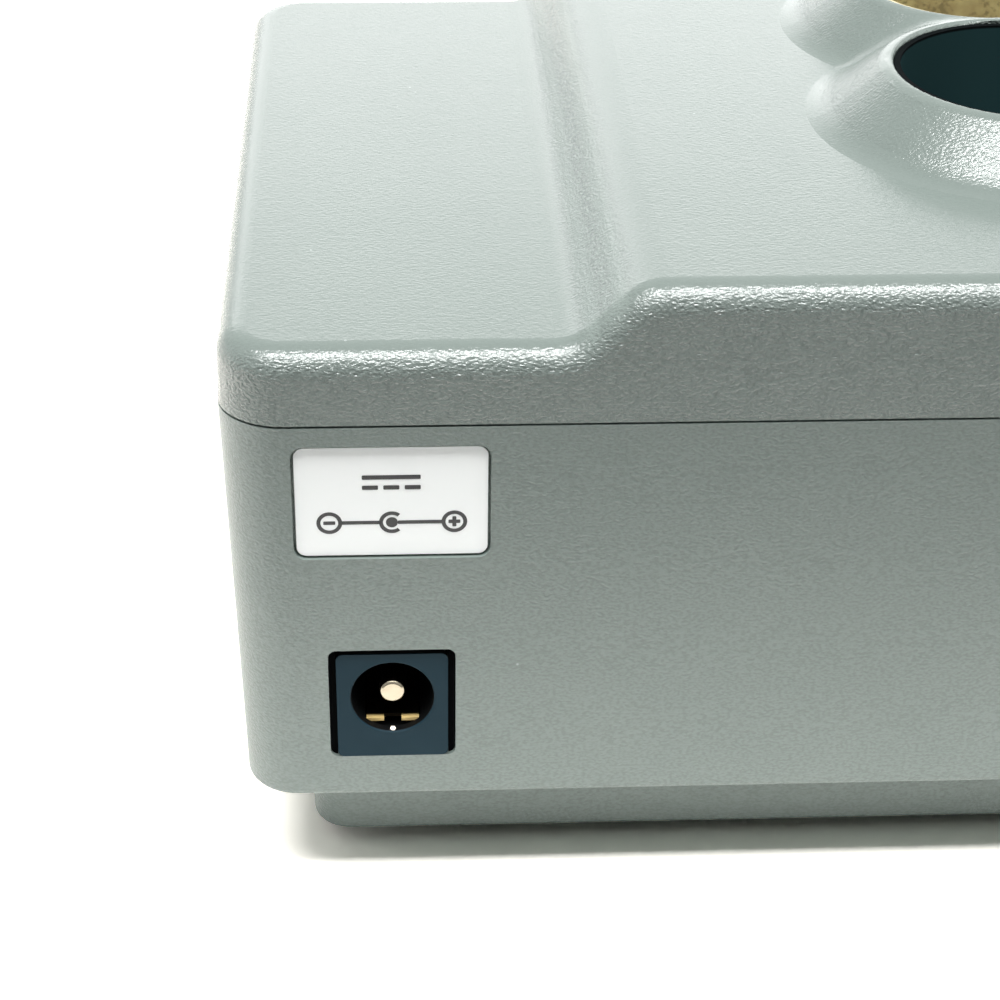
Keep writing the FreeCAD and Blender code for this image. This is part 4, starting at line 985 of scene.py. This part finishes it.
@dataclass
class Housing:
    """The two moulded shells, their feet and their screws."""

    def dress(self) -> None:
        """Finish the housing's solids."""
        dress(["upper_shell"], UPPER_GREY)
        dress(["lower_shell"], LOWER_GREY)
        dress(["rubber_feet"], FOOT_RUBBER)
        dress(["case_screws", "board_screws", "socket_screws"], SCREW_STEEL)


@dataclass
class PowerInlet:
    """The inlet at the back and the marked plate above it."""

    ink: float = 0.02 * MM
    line: float = 0.30 * MM
    ring: float = 0.82 * MM
    reach: float = 4.72 * MM
    drop: float = 1.84 * MM
    rise: float = 1.72 * MM
    dot_share: float = 0.55
    cross_share: float = 1.1
    overlap: float = 1.2
    cup_start: float = math.radians(-50.0)
    cup_sweep: float = math.radians(260.0)
    stroke: Pair = (4.4 * MM, 0.36 * MM)
    dash: Pair = (1.2 * MM, 0.36 * MM)
    dash_pitch: float = 1.6 * MM
    stroke_gap: float = 0.45 * MM
    # The painted shade piece in the inlet's slit: slit width, share filled, thickness, and depth
    # behind the face.
    slit: float = 0.56 * MM
    slit_fill: float = 0.9
    liner: float = 0.8 * MM
    sunk: float = 0.35 * MM
    tip_up: float = 2.62 * MM
    tip_radius: float = 0.22 * MM
    tip_depth: float = 0.12 * MM
    tip_sunk: float = 0.25 * MM

    def dress(self) -> None:
        """Finish the inlet's solids."""
        dress(["dc_jack_body"], INLET_BLACK)
        dress(["dc_jack_pin"], PIN_TIN)
        dress(["dc_jack_leaf"], LEAF_GOLD)
        dress(["rating_label"], LABEL_WHITE)

    def print_plate(self) -> None:
        """Print the common signs for direct current and for the plug's polarity."""
        low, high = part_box("rating_label")
        behind = (low + high) / 2.0 + BACK * STAND_OFF
        point, normal = strike("rating_label", behind, FRONT)
        hand = Hand("plate_signs")
        self.polarity(hand)
        self.direct_current(hand)
        hand.gather(lie_on(point, normal), PRINT_BLACK, Body.CASE)

    def line_window(self) -> None:
        """Fill the slit between the inlet and its window with a dull near black piece: painted
        shade.
        """
        low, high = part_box("dc_jack_body")
        hand = Hand("inlet_slit_shade")
        half = (high.x - low.x) / 2.0
        tall = high.z - low.z
        for side in (-1.0, 1.0):
            across = side * (half + self.slit / 2.0)
            hand.bar((across, 0.0), (self.slit * self.slit_fill, tall), 0.0, self.liner)
        middle = (low + high) / 2.0
        middle.y = high.y - self.liner - self.sunk
        hand.gather(lie_on(middle, BACK), SLIT_SHADE_BLACK, Body.CASE)

    def tip(self) -> None:
        """Set the bright tip of the contact in the bore's lower lip."""
        low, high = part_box("dc_jack_body")
        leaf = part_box("dc_jack_leaf")
        hand = Hand("leaf_tip")
        hand.disc((0.0, 0.0), self.tip_radius, self.tip_depth)
        across = (leaf[0].x + leaf[1].x) / 2.0
        spot = Vector((across, high.y - self.tip_sunk, low.z + self.tip_up))
        hand.gather(lie_on(spot, BACK), PIN_SILVER, Body.CASE)

    def polarity(self, hand: Hand) -> None:
        """Minus in a ring, a cup with a dot, plus in a ring, joined by lines.

        Args:
            hand: The signs in hand.
        """
        y = -self.drop
        dot = self.ring * self.dot_share
        cross = self.ring * self.cross_share
        over = self.ink * self.overlap
        for side in (-1.0, 1.0):
            x = side * self.reach
            hand.arc((x, y), self.ring, self.line, self.ink)
            hand.bar((x, y), (cross, self.line), 0.0, self.ink)
        hand.bar((self.reach, y), (self.line, cross), 0.0, over)
        hand.arc((0.0, y), self.ring, self.line, self.ink, self.cup_start, self.cup_sweep)
        hand.disc((0.0, y), dot, self.ink)
        span = self.reach - 2.0 * self.ring
        hand.bar((-self.reach / 2.0, y), (span, self.line), 0.0, self.ink)
        run = self.reach - self.ring - dot
        hand.bar(((dot + self.reach - self.ring) / 2.0, y), (run, self.line), 0.0, over)

    def direct_current(self, hand: Hand) -> None:
        """A long stroke over three short ones.

        Args:
            hand: The signs in hand.
        """
        hand.bar((0.0, self.rise + self.stroke_gap), self.stroke, 0.0, self.ink)
        for step in (-1.0, 0.0, 1.0):
            at = (step * self.dash_pitch, self.rise - self.stroke_gap)
            hand.bar(at, self.dash, 0.0, self.ink)


@dataclass
class TubeWells:
    """The socket cups in the two wells, with their contacts and board."""

    def dress(self) -> None:
        """Finish the wells' solids."""
        dress(["noval_socket"], SOCKET_BLACK)
        dress(["miniature_socket"], SOCKET_TAN)
        dress(["noval_contacts"], CLIP_GOLD)
        dress(["miniature_contacts"], PIN_SILVER)
        dress(["socket_board"], BOARD_GREEN)


@dataclass
class FrontControls:
    """Selector, lamps, test button and rocker switch on the front."""

    ink: float = 0.02 * MM
    inlay: float = 0.08 * MM
    tick_radius: float = 13.4 * MM
    tick_length: float = 1.5 * MM
    tick_width: float = 0.34 * MM
    figure_radius: float = 15.4 * MM
    figure_size: float = 2.4 * MM
    positions: int = 11
    sweep: float = math.radians(300.0)
    beside_knob: float = 14.0 * MM
    on_mark: Pair = (0.5 * MM, 2.6 * MM)
    on_share: float = 0.76
    off_radius: float = 1.15 * MM
    off_line: float = 0.45 * MM
    off_share: float = 0.24
    spring_wire: float = 0.3 * MM
    spring_turns: int = 5
    press: float = 2.5 * MM

    def dress(self) -> None:
        """Finish the controls' solids."""
        dress(["selector_switch", "selector_nut", "test_nut", "led_bezels"], NUT_NICKEL)
        dress(["selector_shaft"], SHAFT_ALLOY)
        dress(["selector_knob"], KNOB_BLACK)
        dress(["knob_pointer"], MARK_WHITE)
        dress(["test_switch", "power_switch", "led_block"], CONTROL_BLACK)
        dress(["test_plunger"], BUTTON_RED)
        dress(["power_blades"], SCREW_STEEL)
        dress(["power_rocker"], ROCKER_BLACK)
        dress(["led_green"], LENS_GREEN)
        dress(["led_amber"], LENS_AMBER)
        dress(["led_red"], LENS_RED)

    def return_spring(self) -> None:
        """Wind the button's spring from its back end, in place of the frame's spring."""
        low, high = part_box("test_spring")
        radius = (high.x - low.x) / 2.0 - self.spring_wire
        length = high.y - low.y
        back = (low + high) / 2.0
        back.y = high.y
        hand = Hand("return_spring")
        hand.coil(radius, self.spring_wire, length, self.spring_turns)
        spring = hand.gather(lie_on(back, FRONT), SCREW_STEEL, Body.CASE)
        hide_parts("test_spring")
        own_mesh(spring)

    def rocker_marks(self) -> None:
        """Mark the rocker's two ends with a stroke and a ring."""
        low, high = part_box("power_rocker")
        x = (low.x + high.x) / 2.0
        for name, share in (("mark_on", self.on_share), ("mark_off", self.off_share)):
            z = low.z + (high.z - low.z) * share
            before = Vector((x, low.y - STAND_OFF, z))
            point, normal = strike("power_rocker", before, BACK)
            hand = Hand(name)
            if name == "mark_on":
                hand.bar((0.0, 0.0), self.on_mark, 0.0, self.inlay)
            else:
                hand.arc((0.0, 0.0), self.off_radius, self.off_line, self.inlay)
            hand.gather(lie_on(point, normal), MARK_WHITE, Body.ROCKER)

    def panel(self, x: float, z: float) -> Matrix:
        """Give the placing on the front wall at one spot.

        Args:
            x: Across.
            z: Height.

        Returns:
            The placing, with local Z out of the wall.
        """
        before = Vector((x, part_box("lower_shell")[0].y - STAND_OFF, z))
        point, normal = strike("lower_shell", before, BACK)
        return lie_on(point, normal)

    def dial_scale(self) -> None:
        """Print ticks and figures round the selector."""
        low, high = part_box("selector_knob")
        middle = (low + high) / 2.0
        flat = self.panel(middle.x + self.beside_knob, middle.z)
        flat.translation.x = middle.x
        hand = Hand("dial_scale")
        for step in range(self.positions):
            angle = math.pi / 2.0 + self.sweep / 2.0 - self.sweep * step / (self.positions - 1)
            way = Vector((math.cos(angle), math.sin(angle)))
            tick = way * self.tick_radius
            hand.bar((tick.x, tick.y), (self.tick_length, self.tick_width), angle, self.ink)
            spot = way * self.figure_radius
            hand.word(str(step), (spot.x, spot.y), self.figure_size, self.ink)
        hand.gather(flat, PRINT_BLACK, Body.CASE)


@dataclass
class Circuit:
    """The boards' parts inside the housing."""

    def dress(self) -> None:
        """Finish the circuit's solids."""
        dress(["main_board"], BOARD_GREEN)
        dress(["chips", "ribbon_headers"], CHIP_BLACK)
        dress(["heat_sink"], SHAFT_ALLOY)
        dress(["capacitors"], CAN_BLUE)
        dress(["transformer_core"], CORE_FERRITE)
        dress(["transformer_winding"], COIL_COPPER)
        dress(["board_ribbon"], CABLE_GREY)


@dataclass(frozen=True)
class Lamp:
    """One soft lamp: where it hangs, what it shines at, the size of its face and its power."""

    name: str
    at: Point
    aim: Point
    size: Pair
    watts: float
    gloss_only: bool = False


LAMPS = (
    Lamp("key_light", (0.05, 0.265, 1.0), (0.05, 0.0, 0.03), (1.0, 0.22), 19.0),
    Lamp("side_light", (0.60, -0.05, 0.30), (0.0, 0.0, 0.03), (0.30, 0.40), 0.3),
    Lamp("edge_light", (0.45, -0.06, 0.05), (0.0, 0.0, 0.03), (0.30, 0.10), 0.12),
    Lamp("back_light", (0.05, -0.75, 0.24), (0.0, 0.0, 0.03), (0.66, 0.36), 1.45),
    Lamp("table_light", (0.02, 0.068, 0.002), (0.02, 0.068, 1.002), (0.30, 0.036), 0.022),
    Lamp("shine_light", (0.05, 0.31, 0.94), (0.05, 0.0, 0.03), (1.2, 0.56), 15.0, True),
)


@dataclass
class Studio:
    """White floor, soft light from above, and the camera."""

    camera_at: Point = (0.052995, 0.199814, 0.13053)
    pitch: float = math.radians(31.112)
    yaw: float = math.radians(2.972)
    roll: float = math.radians(-0.678)
    lens: float = 86.4
    sensor: float = 36.0
    near: float = 10.0 * MM
    floor_size: float = 2.4
    paper: tuple[RGB, RGB] = ((243, 242, 240), (239, 238, 236))
    burn: tuple[float, float, float, float] = (0.70, 0.65, 0.57, 1.0)
    flag_size: float = 0.8
    flag_at: Point = (0.0, 0.495, 0.001)
    cloth: tuple[RGB, RGB] = ((30, 30, 30), (44, 44, 44))
    sky_span: float = 0.6

    def build(self) -> None:
        """Set everything that isn't part of the object."""
        bpy.context.scene.view_settings.view_transform = "Standard"
        self.floor()
        self.sky()
        self.flag()
        for lamp in LAMPS:
            self.hang(lamp)
        self.camera()

    def floor(self) -> None:
        """Lay a plain pale floor."""
        bpy.ops.object.select_all(action="DESELECT")
        bpy.ops.mesh.primitive_grid_add(x_subdivisions=8, y_subdivisions=8, size=self.floor_size)
        ground = bpy.context.object
        ground.name = "floor"
        bench = NodeBench("floor_paper")
        pulp = bench.noise(3.0, 3.0)
        bench.wear(bench.tint(pulp, *self.paper), bench.spread(pulp, 0.86, 0.94))
        bench.fix(Specular_IOR_Level=0.1)
        self.overexpose(bench)
        ground.data.materials.append(bench.material)

    def overexpose(self, bench: NodeBench) -> None:
        """Let the floor burn out to white where it is seen, and keep its contact shadow.

        Args:
            bench: The floor's material.
        """
        more = bench.nodes.new("ShaderNodeBsdfDiffuse")
        none = bench.nodes.new("ShaderNodeBsdfTransparent")
        none.inputs["Color"].default_value = (0.0, 0.0, 0.0, 1.0)
        more.inputs["Color"].default_value = self.burn
        pick = bench.nodes.new("ShaderNodeMixShader")
        both = bench.nodes.new("ShaderNodeAddShader")
        bench.join(self.seen(bench.material.node_tree), pick.inputs["Fac"])
        bench.join(none.outputs["BSDF"], pick.inputs[1])
        bench.join(more.outputs["BSDF"], pick.inputs[2])
        bench.join(bench.shader.outputs["BSDF"], both.inputs[0])
        bench.join(pick.outputs["Shader"], both.inputs[1])
        bench.join(both.outputs["Shader"], bench.out.inputs["Surface"])

    def seen(self, tree: bpy.types.NodeTree) -> Socket:
        """Tell what is seen, straight or in a shine or through glass, from what only lights.

        Args:
            tree: Nodes of the floor or of the sky.

        Returns:
            1 for a ray that is seen, 0 for one that only lights the tester.
        """
        path = tree.nodes.new("ShaderNodeLightPath")
        share = path.outputs["Is Camera Ray"]
        for way in ("Is Glossy Ray", "Is Transmission Ray"):
            either = tree.nodes.new("ShaderNodeMath")
            either.operation = "MAXIMUM"
            tree.links.new(share, either.inputs[0])
            tree.links.new(path.outputs[way], either.inputs[1])
            share = either.outputs["Value"]
        return share

    def flag(self) -> None:
        """Keep the floor before the camera from lighting the tester's upper walls."""
        bpy.ops.object.select_all(action="DESELECT")
        bpy.ops.mesh.primitive_grid_add(
            x_subdivisions=4, y_subdivisions=4, size=self.flag_size, location=self.flag_at
        )
        bpy.ops.object.transform_apply(location=True)
        card = bpy.context.object
        card.name = "flag"
        bench = NodeBench("flag_cloth")
        weave = bench.noise(1.0, 2.0)
        bench.wear(bench.tint(weave, *self.cloth), bench.spread(weave, 0.9, 1.0))
        card.data.materials.append(bench.material)
        card.visible_camera = False
        card.visible_shadow = False

    def sky(self) -> None:
        """Surround the scene with white where it is seen, and light it from above and behind."""
        world = bpy.data.worlds.new("studio_white")
        bpy.context.scene.world = world
        world.use_nodes = True
        tree = world.node_tree
        back = tree.nodes["Background"]
        way = tree.nodes.new("ShaderNodeTexCoord")
        split = tree.nodes.new("ShaderNodeSeparateXYZ")
        side = tree.nodes.new("ShaderNodeMapRange")
        side.inputs["From Min"].default_value = -self.sky_span
        side.inputs["From Max"].default_value = self.sky_span
        side.inputs["To Min"].default_value = 1.0
        side.inputs["To Max"].default_value = 0.0
        level = tree.nodes.new("ShaderNodeMix")
        level.inputs["B"].default_value = 1.0
        tree.links.new(way.outputs["Generated"], split.inputs["Vector"])
        tree.links.new(split.outputs["Y"], side.inputs["Value"])
        tree.links.new(self.seen(tree), level.inputs["Factor"])
        tree.links.new(side.outputs["Result"], level.inputs["A"])
        tree.links.new(level.outputs["Result"], back.inputs["Strength"])
        back.inputs["Color"].default_value = (1.0, 1.0, 1.0, 1.0)

    def hang(self, lamp: Lamp) -> None:
        """Hang one lamp, out of the camera's sight.

        Args:
            lamp: The lamp.
        """
        data = bpy.data.lights.new(lamp.name, "AREA")
        data.shape = "RECTANGLE"
        data.size, data.size_y = lamp.size
        data.energy = lamp.watts
        hung = bpy.data.objects.new(lamp.name, data)
        bpy.context.scene.collection.objects.link(hung)
        hung.location = lamp.at
        hung.visible_camera = False
        hung.visible_diffuse = not lamp.gloss_only
        way = Vector(lamp.aim) - Vector(lamp.at)
        hung.rotation_euler = way.to_track_quat("-Z", "Y").to_euler()

    def camera(self) -> None:
        """Set the camera behind the tester, looking down on its inlet corner."""
        data = bpy.data.cameras.new("view")
        data.lens = self.lens
        data.sensor_width = self.sensor
        data.clip_start = self.near
        eye = bpy.data.objects.new("view", data)
        bpy.context.scene.collection.objects.link(eye)
        turn = (
            Matrix.Rotation(math.pi - self.yaw, 4, "Z")
            @ Matrix.Rotation(math.pi / 2.0 - self.pitch, 4, "X")
            @ Matrix.Rotation(-self.roll, 4, "Z")
        )
        eye.matrix_world = Matrix.Translation(self.camera_at) @ turn
        bpy.context.scene.camera = eye


def main() -> None:
    """Dress the frame, add the printed marks, and set the studio."""
    logging.basicConfig(level=logging.INFO, format="%(message)s")
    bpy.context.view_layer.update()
    Studio().build()
    Housing().dress()
    inlet = PowerInlet()
    inlet.dress()
    inlet.print_plate()
    inlet.line_window()
    inlet.tip()
    TubeWells().dress()
    controls = FrontControls()
    controls.dress()
    controls.return_spring()
    controls.dial_scale()
    controls.rocker_marks()
    Circuit().dress()


if __name__ == "__main__":
    main()
